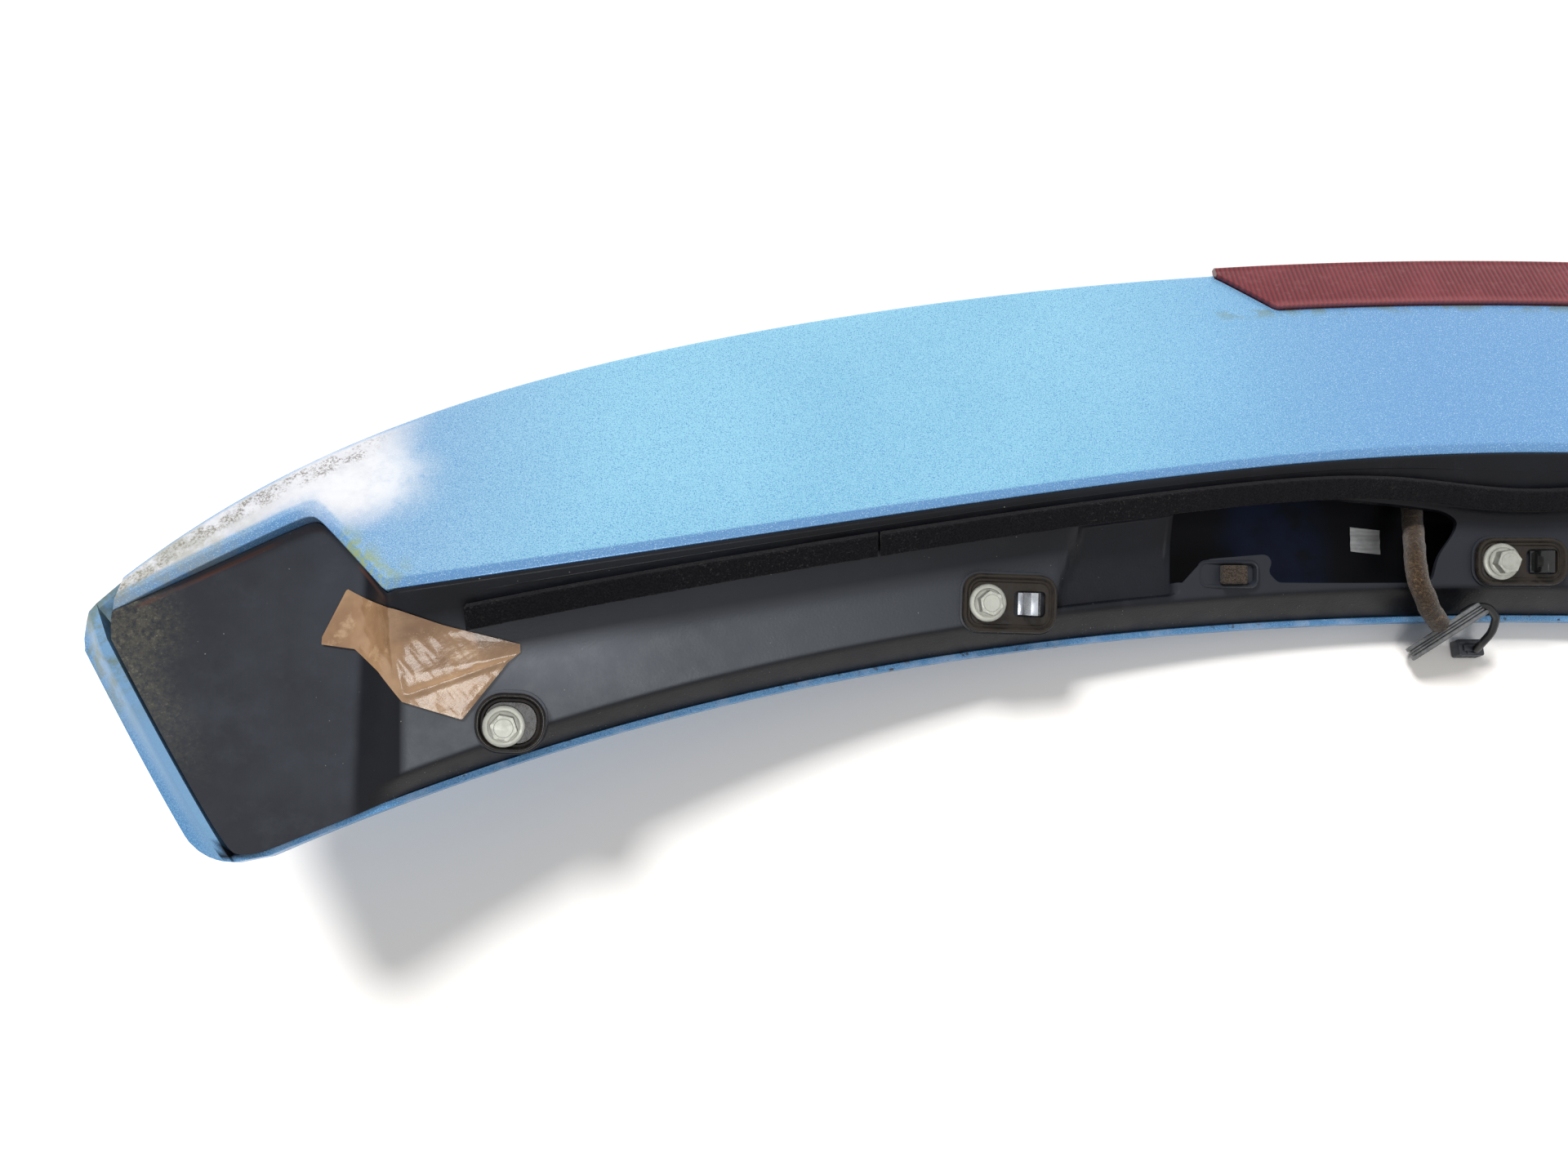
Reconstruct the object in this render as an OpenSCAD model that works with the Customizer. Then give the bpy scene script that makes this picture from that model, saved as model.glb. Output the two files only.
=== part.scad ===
// Rear roof spoiler of a hatchback, lying on its painted top skin with the mounting side up.
// X runs across the car, +Y points to the trailing edge, +Z is away from the floor.
// Heights are taken above the crown line, an arc across the car that rises towards both tips.

/* [Overall plan] */
// Full width from tip to tip
span = 1234; // [1160:2:1300]
// Width that the two tips lose between the trailing and the leading corners
tip_taper = 108; // [90:2:150]
// Depth from leading edge to trailing edge on the centre line
chord = 183.6; // [176:0.2:200]
// Radius of the crown across the car
crown_r = 2050; // [1700:10:2800]
// Forward sweep of the leading edge at its corners, parabolic part
le_sweep = 93.2; // [80:0.2:100]
// Extra hook of the leading edge close to its corners
le_hook = 27.5; // [16:0.1:34]
// Forward sweep of the trailing edge at the tips, parabolic part
te_sweep = 154.4; // [148:0.1:165]
// Extra hook of the trailing edge close to the tips
te_hook = 56.9; // [50:0.1:68]
// Bow of the tip's side line, 1 is straight and less is fuller
side_bow = 0.92; // [0.8:0.02:1]
// Rounding of the leading corner of each tip
lead_corner_r = 20; // [14:1:24]
// Rounding of the trailing corner of each tip
trail_corner_r = 7; // [4:1:12]

/* [Painted skins] */
// Wall of the painted mouldings
skin_wall = 2.5; // [2:0.1:3]
// Height of the outer skin's front lip above the crown line
lip_z = 12; // [10:0.5:15]
// Height of the front lip's edge face
lip_h = 4; // [3:0.5:6]
// Height of the outer skin's rear rim above the crown line
rear_rim_z = 17; // [15:0.5:19]
// Thickness of the outer skin at the trailing edge
rear_rim_h = 3; // [2.6:0.1:4]
// Share of the depth at which the outer skin touches the floor
low_share = 0.26; // [0.23:0.01:0.4]
// Height of the crease along each tip's side face
crease_z = 8; // [6:0.5:10]
// Thickness of the edge below that crease
crease_h = 2.4; // [2:0.1:4]
// Gap between neighbouring mouldings
joint_gap = 0.3; // [0.2:0.05:0.5]
// Height of the under skin's rear edge above the crown line
under_te_z = 19.5; // [19:0.1:21]
// Height of the ridge where the under skin meets the base
ridge_z = 54; // [50:0.5:58]
// Swell of the under skin over the brake lamp
lamp_swell = 2.4; // [0:0.1:4]
// Half width of that swell
lamp_swell_half = 140; // [135:1:150]
// Width of the rounded return along the seam
seam_return_w = 4.5; // [3:0.1:6]
// Drop of that return
seam_return_h = 2; // [1:0.1:3]

/* [Base moulding] */
// Wall of the base moulding
base_wall = 2.5; // [2:0.1:3]
// Depth from the leading edge to the seam on the centre line
seam_depth = 69; // [66:0.5:72]
// Flat middle length of the seam curve
seam_flat = 59; // [50:1:70]
// Slope that the seam curve tends to
seam_slope = 0.255; // [0.24:0.005:0.27]
// Width of the blue lip left in front of the middle body
lip_w = 3; // [2.8:0.1:4]
// Width of the blue lip left in front of the end panels
panel_lip_w = 1.4; // [1.2:0.1:3]
// Width of the steep front band
band_w = 9; // [8:0.5:11]
// Rise of the steep front band
band_rise = 16.3; // [14:0.1:18]
// Narrowing of the front band towards the outer bolts
band_taper = 3; // [0:0.5:4]
// Slope of the mounting pads, height over depth
pad_slope = 0.268; // [0.24:0.002:0.29]
// Distance of the pad crease from the foam ledge
crease_gap = 14; // [12:0.5:16]
// Width of the rim strip behind the foam ledge
rim_w = 5.2; // [4.5:0.1:6]
// Extra width of the rim strip at the centre, where the foam bends forward
rim_dip = 8.5; // [6:0.1:10]
// Width of the foam ledge seen from above
ledge_w = 7.8; // [7.5:0.1:8.5]
// Slope of the foam ledge and rim strip, height over depth
ledge_slope = 0.8; // [0.75:0.01:0.85]
// Depth of the recess between the inner pads
recess_drop = 5; // [3:0.5:6]
// Half width at which the outer pads begin
pad_in = 211; // [205:1:216]
// Half width at which the centre pad ends
centre_pad_half = 33; // [31:1:38]
// Share of the half width that the raised middle body takes
body_share = 0.799; // [0.78:0.001:0.82]
// Length over which the middle body falls to the end panel
panel_run = 27; // [22:1:32]
// Height of the end panel at its front edge
panel_front_z = 14; // [14:0.5:15]
// Height of the end panel at its rear edge
panel_rear_z = 24; // [22:0.5:25]

/* [Cable opening] */
// Left end of the cable opening
open_left = 168; // [166:1:170]
// Right end of the cable opening
open_right = 32; // [30:1:34]
// Width of the strip between the front band and the recess
open_strip = 3; // [2.5:0.1:4]
// Left end of the tongue that reaches into the opening
tongue_left = 163; // [160:1:165]
// Right end of that tongue
tongue_right = 118; // [115:1:122]
// Reach of the tongue into the opening
tongue_reach = 13; // [11:0.5:15]
// Size of the foam plug in the tongue's pocket
plug = 11; // [8:0.5:12]
// Thickness of that foam plug
plug_h = 5; // [4:0.5:6]
// Length and width of the pocket on the tongue
pocket_size = [28, 12.5]; // [12:0.5:30]
// Height of the pocket's rim above the tongue
pocket_rim_h = 1.2; // [0.8:0.1:2]

/* [Fasteners and seals] */
// Distance of the outer bolts inside the ends of the middle body
bolt_outer_from_end = 35; // [31:1:42]
// Distance of the outer bolts behind the leading edge
bolt_outer_in = 14.5; // [13:0.5:17]
// Distance of the inner bolts from the centre line
bolt_inner_x = 255; // [250:1:262]
// Distance of the inner bolts behind the leading edge
bolt_inner_in = 20.5; // [19:0.5:23]
// Place of the centre bolt left of the centre line
bolt_centre_x = 15; // [14:1:16]
// Distance of the centre bolt behind the leading edge
bolt_centre_in = 23.5; // [22:0.5:25]
// Thread diameter of the bolts
bolt_d = 6; // [5:1:6]
// Width across flats of the bolt heads
bolt_af = 10; // [8:1:11]
// Height of the hexagon of the bolt heads
hex_h = 4; // [3:0.5:6]
// Diameter of the flange under the hexagon
flange_d = 13; // [12:0.5:14]
// Thickness of that flange
flange_h = 1.5; // [1:0.1:2]
// Length of the bolt below its flange
bolt_len = 15; // [12:1:16]
// Outer diameter of the washers
washer_d = 17; // [16:0.5:18]
// Thickness of the washers
washer_h = 1.6; // [1:0.1:2]
// Radial clearance of the washer on its bolt
washer_play = 0.3; // [0.2:0.05:0.5]
// Outer diameter of the threaded inserts
insert_d = 10; // [9:0.5:11]
// Length of the threaded inserts
insert_len = 17; // [16:1:18]
// Wall of the bosses round the inserts
boss_wall = 2.2; // [2:0.1:3]
// Thickness of the sealing gaskets
gasket_h = 3; // [2.5:0.1:4]
// Height of the raised rim on each gasket
gasket_rim_h = 1; // [0.5:0.1:1.5]
// Width of that rim
gasket_rim_w = 2; // [1.5:0.1:2.5]
// Length and width of the outer gaskets
gasket_outer = [28, 24]; // [23:0.5:30]
// Length and width of the inner gaskets
gasket_inner = [43, 26]; // [22:0.5:46]
// Length and width of the centre gasket
gasket_centre_size = [42, 22]; // [21:0.5:46]
// Thickness of the foam strips
foam_h = 5; // [4:0.5:6]
// Distance of the outer foam strips' ends inside the ends of the middle body
foam_from_end = 23; // [19:1:27]
// Half width of the cut between the foam strips
foam_cut = 304; // [300:1:308]
// Gap at that cut
foam_cut_gap = 1.2; // [0.8:0.1:2]

/* [Brake lamp] */
// Half length of the lens at the trailing edge
lens_half = 128; // [124:1:130]
// Length by which each end of the lens runs askew
lens_taper = 25; // [20:1:30]
// Width of the lens seen from above
lens_w = 27; // [25:0.5:28]
// Height of the lens above the under skin
lens_proud = 2.6; // [2:0.1:3.2]
// Wall of the lens
lens_wall = 2; // [1.6:0.1:2.4]
// Gap round the lens
lens_gap = 0.4; // [0.3:0.05:0.6]
// Thickness of the lamp's back housing
housing_h = 2; // [1.6:0.1:2.4]
// Thickness of the circuit board
board_h = 1.2; // [1:0.1:1.6]
// Number of light-emitting diodes
led_count = 12; // [8:2:16]
// Side of one light-emitting diode
led_size = 3.5; // [3:0.1:4]

/* [Hidden] */
$fn = 48;

// The rounding takes this share of its radius off the width at each trailing corner
corner_share = 0.48;
half_span = span / 2 + corner_share * trail_corner_r;
lead_half = (span - tip_taper) / 2;
body_half = body_share * span / 2;
panel_half = body_half + panel_run;
bolt_outer_x = body_half - bolt_outer_from_end;
foam_end = body_half - foam_from_end;
lens_inner_half = lens_half - lens_taper;

// Small helpers
function clamp01(v) = min(1, max(0, v));
function smooth(v) = let (c = clamp01(v)) c * c * (3 - 2 * c);
function mix(a, b, k) = a + (b - a) * k;
function soft_min(a, b, k) = (a + b - sqrt((a - b) * (a - b) + k * k)) / 2;
function soft_max(a, b, k) = (a + b + sqrt((a - b) * (a - b) + k * k)) / 2;
function both_sides(half) = [for (i = [len(half) - 1:-1:1]) -half[i], each half];

// Plan curves; both corners of each tip are rounded over the last part of its length
lead_from = 0.966;
trail_from = 0.975;
function rounding(k, from) = let (u = clamp01((abs(k) - from) / (1 - from))) 1 - sqrt(1 - u * u);
hook_power = 9.5;
function crown(x) = crown_r - sqrt(crown_r * crown_r - x * x);
function le_drop(x) = let (k = x / lead_half) le_sweep * k * k + le_hook * pow(k, 4);
function te_drop(x) = let (k = abs(x) / half_span) te_sweep * k * k + te_hook * pow(k, hook_power);
// The origin lies under the middle of the part's box, so the leading edge starts at lead_y; the
// rounding of the leading corners shortens the box by a share of its radius
front_share = 0.363;
lead_y = -(chord + lens_proud - le_sweep - le_hook + front_share * lead_corner_r) / 2;
function le_y(x) = lead_y - le_drop(x);
function te_y(x) = lead_y + chord - te_drop(x);
function seam_y(x) = lead_y + seam_depth
    - (sqrt(seam_flat * seam_flat + pow(seam_slope * x, 2)) - seam_flat);

// A solid from rings of points that all have the same count
module loft(rings) {
    n = len(rings[0]);
    m = len(rings);
    sides = [for (k = [0:m - 2], i = [0:n - 1]) let (a = k * n + i, b = k * n + (i + 1) % n)
        each [[a, b, a + n], [b, b + n, a + n]]];
    first = [for (i = [n - 1:-1:0]) i];
    last = [for (i = [0:n - 1]) (m - 1) * n + i];
    polyhedron(points = [for (r = rings) each r], faces = [first, last, each sides], convexity = 12);
}

// Stations fan out from the centre line to the side line of each tip: t is 0 on the centre line
// and 1 on the side line, and s runs from the leading edge to the trailing edge
function side_power(t) = 1 - (1 - side_bow) * pow(abs(t), 12);
function fan(t, s) = let (xf = t * lead_half, xb = t * half_span, yf = le_y(xf), yb = te_y(xb))
    [mix(xf, xb, pow(s, side_power(t))), mix(yf, yb, s)];
function tip_len(t) = norm(fan(t, 1) - fan(t, 0));
function fan_s(t, s) = let (len = tip_len(t)) mix(lead_corner_r * rounding(t, lead_from) / len,
    1 - trail_corner_r * rounding(t, trail_from) / len, s);
function fan_point(t, s, z) = let (p = fan(t, fan_s(t, s))) [p[0], p[1], z + crown(p[0])];

// Outer skin: its outside runs from the lip, under the nose, to the trailing edge
skin_s = [0, 0.02, 0.06, 0.12, 0.19, low_share, 0.42, 0.55, 0.68, 0.8, 0.9, 0.96, 1];
nose_power = 2.4;
tail_power = 2;
function skin_low(s) = s < low_share
    ? (lip_z - lip_h) * pow((low_share - s) / low_share, nose_power)
    : (rear_rim_z - rear_rim_h) * pow((s - low_share) / (1 - low_share), tail_power);
// Towards the side line the underside blends into the edge below the side face's crease
tip_from = 0.925;
function tip_blend(t) = pow(clamp01((abs(t) - tip_from) / (1 - tip_from)), 2);
function skin_under(t, s) = let (edge = crease_z - crease_h)
    max(edge * tip_blend(t), mix(skin_low(s), edge, tip_blend(t)));
// Width of the side face that slopes down and outwards at the tip
side_face_w = 6.6;
side_face_gain = 1.2;
function side_inset(s) = (side_face_w + side_face_gain * (1 - s) * (1 - s)) / half_span;
panel_step = 1;
side_turn = 0.85;
function side_climb(s) = mix(panel_front_z, panel_rear_z - panel_step, s);
function side_top(s) = s < side_turn ? side_climb(s)
    : mix(side_climb(side_turn), rear_rim_z, (s - side_turn) / (1 - side_turn));
// Inside the lip the skin drops steeply, so that the base's front edge clears it
nose_s = 0.012;
nose_wall = 1.9;
function inner_s(t, s) = let (k = skin_wall / tip_len(t)) mix(k, 1 - k, s);
// The rows of the outer skin: its open middle, the solid side walls and the sloping side faces
function skin_row(t, back, open, top) =
    let (sgn = sign(t), n = len(skin_s))
    concat(
        [for (s = skin_s) let (u = t - sgn * back * side_inset(s)) fan_point(u, s, skin_under(u, s))],
        [for (i = [n - 1:-1:0]) let (s = skin_s[i], u = t - sgn * back * side_inset(s),
                z_top = top < 0 ? mix(lip_z, rear_rim_z, s) : mix(crease_z, side_top(s), top),
                q = inner_s(u, s), z_in = skin_under(u, s) + skin_wall)
            i == n - 1 ? fan_point(u, 1, open > 0 ? rear_rim_z : z_top)
            : i == 0 ? fan_point(u, 0, open > 0 ? lip_z : z_top)
            : i == n - 2 ? fan_point(u, open > 0 ? inner_s(u, 1) : s, open > 0 ? rear_rim_z : z_top)
            : i == 1 ? fan_point(u, open > 0 ? inner_s(u, 0) : s, open > 0 ? lip_z : z_top)
            : i == 2 && open > 0 ? fan_point(u, inner_s(u, nose_s), skin_under(u, nose_s) + nose_wall)
            : fan_point(u, open > 0 ? q : s, open > 0 ? min(z_in, mix(lip_z, rear_rim_z, s) - 0.5)
                : z_top)]);
skin_ts = [0, 0.06, 0.12, 0.18, 0.24, 0.3, 0.36, 0.42, 0.48, 0.54, 0.6, 0.66, 0.72, 0.78, 0.84,
           0.89, tip_from];
side_wall_t = skin_wall / half_span;
module outer_skin() {
    half_rows = concat(
        [for (t = skin_ts) [t, 0, 1, -1]],
        [for (t = [0.96, 0.978, 1 - side_wall_t]) [t, 1, 1, -1]],
        [[1 - side_wall_t + 0.0002, 1, 0, 1], [1, 1, 0, 1], [1, 0.45, 0, 0.4], [1, 0, 0, 0]]);
    rows = concat([for (i = [len(half_rows) - 1:-1:1]) let (r = half_rows[i])
        [-r[0], r[1], r[2], r[3]]], half_rows);
    color("steelblue")
        loft([for (r = rows) skin_row(r[0], r[1], r[2], r[3])]);
}

// Base moulding: its outline in plan
shell_corner = [body_half + 7, -11];
panel_corner = [panel_half + 15, 24];
tip_inset = 15.65;
panel_tip = [half_span - tip_inset, -22.15];
function rim_line(x) = lead_y + panel_corner[1]
    + (abs(x) - panel_corner[0]) * (panel_tip[1] - panel_corner[1]) / (panel_tip[0] - panel_corner[0]);
function diagonal(x) = lead_y + shell_corner[1]
    + (abs(x) - shell_corner[0]) * (panel_corner[1] - shell_corner[1])
    / (panel_corner[0] - shell_corner[0]);
// The panel's side keeps a play from the inner wall of the skin's side face
side_play = 0.6;
side_pts = [for (s = [0:0.05:1]) let (t = 1 - side_wall_t - side_inset(s) - side_play / half_span)
    concat(fan(t, fan_s(t, s)), [s])];
function side_line(x) = lookup(abs(x), [for (p = side_pts) [p[0], p[1]]]);
function side_share(x) = lookup(abs(x), [for (p = side_pts) [p[0], p[2]]]);
function base_back(x) = soft_min(max(seam_y(x), diagonal(x)), rim_line(x), 5);
corner_max = 0.995;
front_soft = 3;
function lip_at(x) = mix(lip_w, panel_lip_w, panel_blend(x));
function base_front(x) = soft_max(
    le_y(x) + lip_at(x) + lead_corner_r * rounding(min(abs(x) / lead_half, corner_max), lead_from),
    side_line(x), front_soft);

// Base moulding: heights above the crown line
function panel_blend(x) = smooth((abs(x) - body_half) / (panel_half - body_half));
function panel_front(x) = side_climb(side_share(x));
function bolt_share(x) = pow(x / bolt_outer_x, 2);
function band_width(x) = band_w - band_taper * bolt_share(x);
band_drop = 0.2;
function band_top(x) = lip_z + band_rise * (1 - band_drop * bolt_share(x));
function pad_z(x, y) = band_top(x) + pad_slope * (y - base_front(x) - band_width(x));
rim_dip_half = 60;
rim_grow = 3.3;
function rim_width(x) = rim_w + rim_dip * exp(-pow(x / rim_dip_half, 2))
    + rim_grow * pow(abs(x) / foam_end, 6);
// The inner ends of the outer pads run askew; crease_y is where pad_in holds
pad_skew = 0.33;
crease_y = 36;
edge_soft = 5;
function recess(x, y) =
    smooth((pad_in + pad_skew * (lead_y + crease_y - y) - abs(x)) / edge_soft + 0.5)
    * smooth((abs(x) - centre_pad_half) / edge_soft + 0.5);
// Drop of the recess floor; the tongue beside the cable opening stays level
tongue_side = 5;
function floor_share(x, y) = recess(x, y)
    * (x < 0 ? smooth((-x - tongue_left - 2) / tongue_side) : 1);
function floor_drop(x, y) = recess_drop * floor_share(x, y);
panel_bulge = 0.6;
function panel_z(x, f) = mix(panel_front(x), panel_rear_z, f) + panel_bulge * 4 * f * (1 - f);
panel_f = [0, 0.1, 0.2, 0.26, 0.42, 0.6, 0.72, 0.76, 0.88, 0.96, 1];
ridge_round = 1.5;
toe_run = 1.5;
heel_run = 1.2;
heel_drop = 0.8;
function body_points(x) =
    let (yf = base_front(x), yb = base_back(x), rim = rim_width(x), strip = band_width(x) + open_strip,
         y_ledge = yb - rim - ledge_w, y_crease = y_ledge - crease_gap,
         y_toe = yf + strip + toe_run, y_mid = (y_toe + y_crease) / 2, y_heel = y_ledge - heel_run,
         z_ledge = ridge_z - ledge_slope * (rim + ledge_w))
    [[yf, lip_z],
     [yf + band_width(x), band_top(x)],
     [yf + strip, pad_z(x, yf + strip)],
     [y_toe, pad_z(x, y_toe) - floor_drop(x, y_toe)],
     [y_mid, pad_z(x, y_mid) - floor_drop(x, y_mid)],
     [y_crease, pad_z(x, y_crease) - floor_drop(x, y_crease)],
     [y_heel, z_ledge - heel_drop - floor_drop(x, y_heel)],
     [y_ledge, z_ledge],
     [yb - rim, ridge_z - ledge_slope * rim],
     [yb - ridge_round, ridge_z - ledge_slope * ridge_round],
     [yb, ridge_z - ridge_round]];
function base_points(x) =
    let (e = panel_blend(x), yf = base_front(x), yb = base_back(x), body = body_points(x))
    [for (i = [0:len(body) - 1])
        [mix(body[i][0], mix(yf, yb, panel_f[i]), e),
         mix(body[i][1], panel_z(x, panel_f[i]), e)]];
// The underside is the same line moved inwards, less so at the two edges and forwards under the
// step down into the recess
function wall_shift(i, n, r) = base_wall * (i == 0 ? 0.35 : i == n - 1 ? -0.1 : i == n - 2 ? 0.2
    : i == 1 ? mix(0.6, 0.3, r) : i == 2 || i == 3 ? mix(0.6, -0.6, r) : 0.6);
narrow_w = 50;
base_drop = 0.9 * base_wall;
front_drop = 0.6 * base_wall;
function base_ring(x) = let (top = base_points(x), n = len(top), c = crown(x), r = floor_share(x, top[3][0]),
        narrow = min(1, (top[n - 1][0] - top[0][0]) / narrow_w))
    concat([for (p = top) [x, p[0], p[1] + c]],
           [for (i = [n - 1:-1:0])
               [x, top[i][0] + narrow * wall_shift(i, n, r), top[i][1] - (i == 0 ? front_drop : base_drop) + c]]);
function near(x, list, i = 0) = i >= len(list) - 2 || x < list[i + 1] ? i : near(x, list, i + 1);
// Height of the base's upper side at any point
function base_top(x, y) = let (p = base_points(x), ys = [for (q = p) q[0]], i = near(y, ys),
    k = clamp01((y - ys[i]) / (ys[i + 1] - ys[i]))) mix(p[i][1], p[i + 1][1], k) + crown(x);
// Stations: close together where the pads, the recess and the end panels begin
centre_xs = [0, 15, centre_pad_half - 2.5, centre_pad_half, centre_pad_half + 2.5, 50, 75, 105, 140,
             165, 167.5, 170];
pad_xs = [for (d = [-5, 0, 5, 10, 12.5, 15]) pad_in + d];
arm_xs = concat([for (k = [0.308, 0.692]) mix(pad_xs[5], foam_cut, k)], [foam_cut - 0.6, foam_cut + 1],
                [for (k = [0.164, 0.323, 0.482, 0.64, 0.773]) mix(foam_cut, body_half, k)]);
step_xs = [for (d = [-23, -9, 0, 6, 12, 17, 22, panel_run, 35, 42, 50]) body_half + d];
panel_shares = [0.18, 0.32, 0.49, 0.69, 0.87, 0.95, 1];
tip_x = panel_tip[0] - 2.5;
base_half = concat(centre_xs, pad_xs, arm_xs, step_xs,
                   [for (k = panel_shares) mix(body_half + 50, tip_x, k)]);
base_xs = both_sides(base_half);

// Seats of the bolts: a frame on the pad with Z along its normal
module on_pad(x, inset) {
    y = le_y(x) + inset;
    translate([x, y, pad_z(x, y) + crown(x)])
        rotate([0, -asin(x / crown_r), 0])
        rotate([atan(pad_slope), 0, 0])
        children();
}
seats = [[-bolt_outer_x, bolt_outer_in], [-bolt_inner_x, bolt_inner_in],
         [-bolt_centre_x, bolt_centre_in],
         [bolt_inner_x, bolt_inner_in], [bolt_outer_x, bolt_outer_in]];
seat_lift = 1;
seat_margin = 2;
outer_seat_shift = [2.5, 1.4];
module oval(size, h) {
    r = min(size[0], size[1]) / 2;
    half = size[0] / 2 - r;
    linear_extrude(h) union() {
        translate([-half - 0.01, -r]) square([2 * half + 0.02, 2 * r]);
        translate([-half, 0]) circle(r);
        translate([half, 0]) circle(r);
    }
}
module rounded(size, r, h) {
    linear_extrude(h) union() {
        translate([-size[0] / 2 + r, -size[1] / 2]) square([size[0] - 2 * r, size[1]]);
        translate([-size[0] / 2, -size[1] / 2 + r]) square([size[0], size[1] - 2 * r]);
        for (i = [-1, 1], j = [-1, 1])
            translate([i * (size[0] / 2 - r), j * (size[1] / 2 - r)]) circle(r);
    }
}
gasket_r = 8;
outer_gasket_r = 11;
// Shift of a gasket's middle from its bolt
bolt_from_end = 11;
inner_gasket_shift = gasket_inner[0] / 2 - bolt_from_end;
centre_gasket_shift = gasket_centre_size[0] / 2 - bolt_from_end;
seat_depth = 4;
module seat_block(size, h) {
    translate([0, 0, -seat_depth])
        rounded([size[0] + seat_margin, size[1] + seat_margin], gasket_r + 1, h + seat_depth);
}
boss_len = insert_len - seat_lift;
module seat_solids() {
    for (sgn = [-1, 1]) {
        on_pad(sgn * bolt_outer_x, bolt_outer_in)
            translate([-sgn * outer_seat_shift[0], outer_seat_shift[1], 0])
            seat_block(gasket_outer, seat_lift);
        on_pad(sgn * bolt_inner_x, bolt_inner_in)
            translate([-sgn * inner_gasket_shift, 0, 0]) seat_block(gasket_inner, seat_lift);
    }
    on_pad(-bolt_centre_x, bolt_centre_in) translate([centre_gasket_shift, 0, 0])
        seat_block(gasket_centre_size, seat_lift);
    for (p = seats) on_pad(p[0], p[1]) translate([0, 0, -boss_len + seat_lift])
        cylinder(h = boss_len, d = insert_d + 2 * boss_wall);
}
bore_reach = 20;
module insert_bores(wider) {
    for (p = seats) on_pad(p[0], p[1]) translate([0, 0, -bore_reach])
        cylinder(h = 2 * bore_reach, d = insert_d + wider);
}
// The opening's front edge runs open_strip behind the front band's crease
open_y = lead_y + 14;
function open_x(k) = -mix(open_left, open_right, k);
module opening_outline() {
    y_back = lead_y + seam_depth - rim_w - ledge_w;
    difference() {
        polygon([[-open_left, open_y - 2], [-open_left, y_back - 13], [open_x(0.28), y_back - 7.5],
                 [open_x(0.54), y_back - 6], [open_x(0.79), y_back - 8], [open_x(0.94), y_back - 10],
                 [open_x(0.993), y_back - 14], [open_x(0.985), y_back - 19],
                 [open_x(0.926), y_back - 30], [open_x(0.904), open_y],
                 [open_x(0.684), open_y - 0.5], [open_x(0.463), open_y - 0.9]]);
        polygon([[-tongue_left - 3, lead_y], [-tongue_left, open_y - 6],
                 [-tongue_left + 10, open_y + tongue_reach - 4.5],
                 [-tongue_right - 5, open_y + tongue_reach - 1.5],
                 [-tongue_right - 2.5, open_y + tongue_reach - 5],
                 [-tongue_right - 4.5, open_y + 3.5], [-tongue_right, open_y - 1],
                 [-tongue_right, lead_y]]);
    }
}
// Pocket for the foam plug: a low rim on the tongue
tongue_mid = [-(tongue_left + tongue_right) / 2 - 1, lead_y + 16.2];
pocket_r = 4;
pocket_wall = 1.2;
module on_tongue() {
    translate([tongue_mid[0], tongue_mid[1], pad_z(tongue_mid[0], tongue_mid[1]) + crown(tongue_mid[0])])
        rotate([atan(pad_slope), 0, 0]) children();
}
module pocket_rim() {
    on_tongue() difference() {
        translate([0, 0, -1.5]) rounded(pocket_size, pocket_r, 1.5 + pocket_rim_h);
        translate([0, 0, -2]) rounded(pocket_size - 2 * [pocket_wall, pocket_wall],
                                      pocket_r - pocket_wall, 2 + 2 * pocket_rim_h);
    }
}
module base_panel() {
    color([0.13, 0.14, 0.16]) union() {
        difference() {
            loft([for (x = base_xs) base_ring(x)]);
            linear_extrude(crown_r) opening_outline();
            insert_bores(boss_wall);
        }
        difference() {
            seat_solids();
            insert_bores(0);
        }
        pocket_rim();
    }
}

// Under skin: the painted band between the seam and the trailing edge
function band_slope(x) = let (q = min(abs(x), shell_corner[0]))
    (ridge_z - under_te_z) / (te_y(q) - seam_y(q));
swell_fade = 40;
function swell(x, y) = let (u = clamp01((te_y(x) - y) / (te_y(x) - seam_y(x))))
    lamp_swell * smooth((lamp_swell_half - abs(x)) / swell_fade + 0.4) * 4 * u * (1 - u);
function band_z(x, y) = under_te_z + band_slope(x) * (te_y(x) - y) + swell(x, y);
under_f = [0.12, 0.25, 0.4, 0.55, 0.7, 0.82, 0.92];
function under_edge(x) = base_back(x) + joint_gap;
foot_h = 0.5;
function under_ring(x) =
    let (ya = under_edge(x), yt = te_y(x), w = yt - ya, r = min(seam_return_w, 0.3 * w), c = crown(x),
         z_foot = min(band_z(x, ya) - skin_wall - seam_return_h - foot_h,
                      base_points(x)[10][1] - base_drop),
         mid = [for (f = under_f) mix(ya + r, yt, f)])
    concat([[x, ya, z_foot + c], [x, ya, band_z(x, ya) - seam_return_h + c],
            [x, ya + r, band_z(x, ya + r) + c]],
           [for (y = mid) [x, y, band_z(x, y) + c]],
           [[x, yt, under_te_z + c], [x, yt, rear_rim_z + joint_gap + c],
            [x, yt - 0.06 * w, max(rear_rim_z + joint_gap, band_z(x, yt - 0.06 * w) - skin_wall) + c]],
           [for (i = [len(mid) - 2:-1:0])
               [x, mid[i], max(rear_rim_z + joint_gap, band_z(x, mid[i]) - skin_wall) + c]],
           [[x, ya + r, band_z(x, ya + r) - skin_wall + c],
            [x, ya + min(skin_wall, 0.2 * w), band_z(x, ya) - seam_return_h - skin_wall + c],
            [x, ya + min(skin_wall, 0.2 * w), z_foot + c]]);

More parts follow.
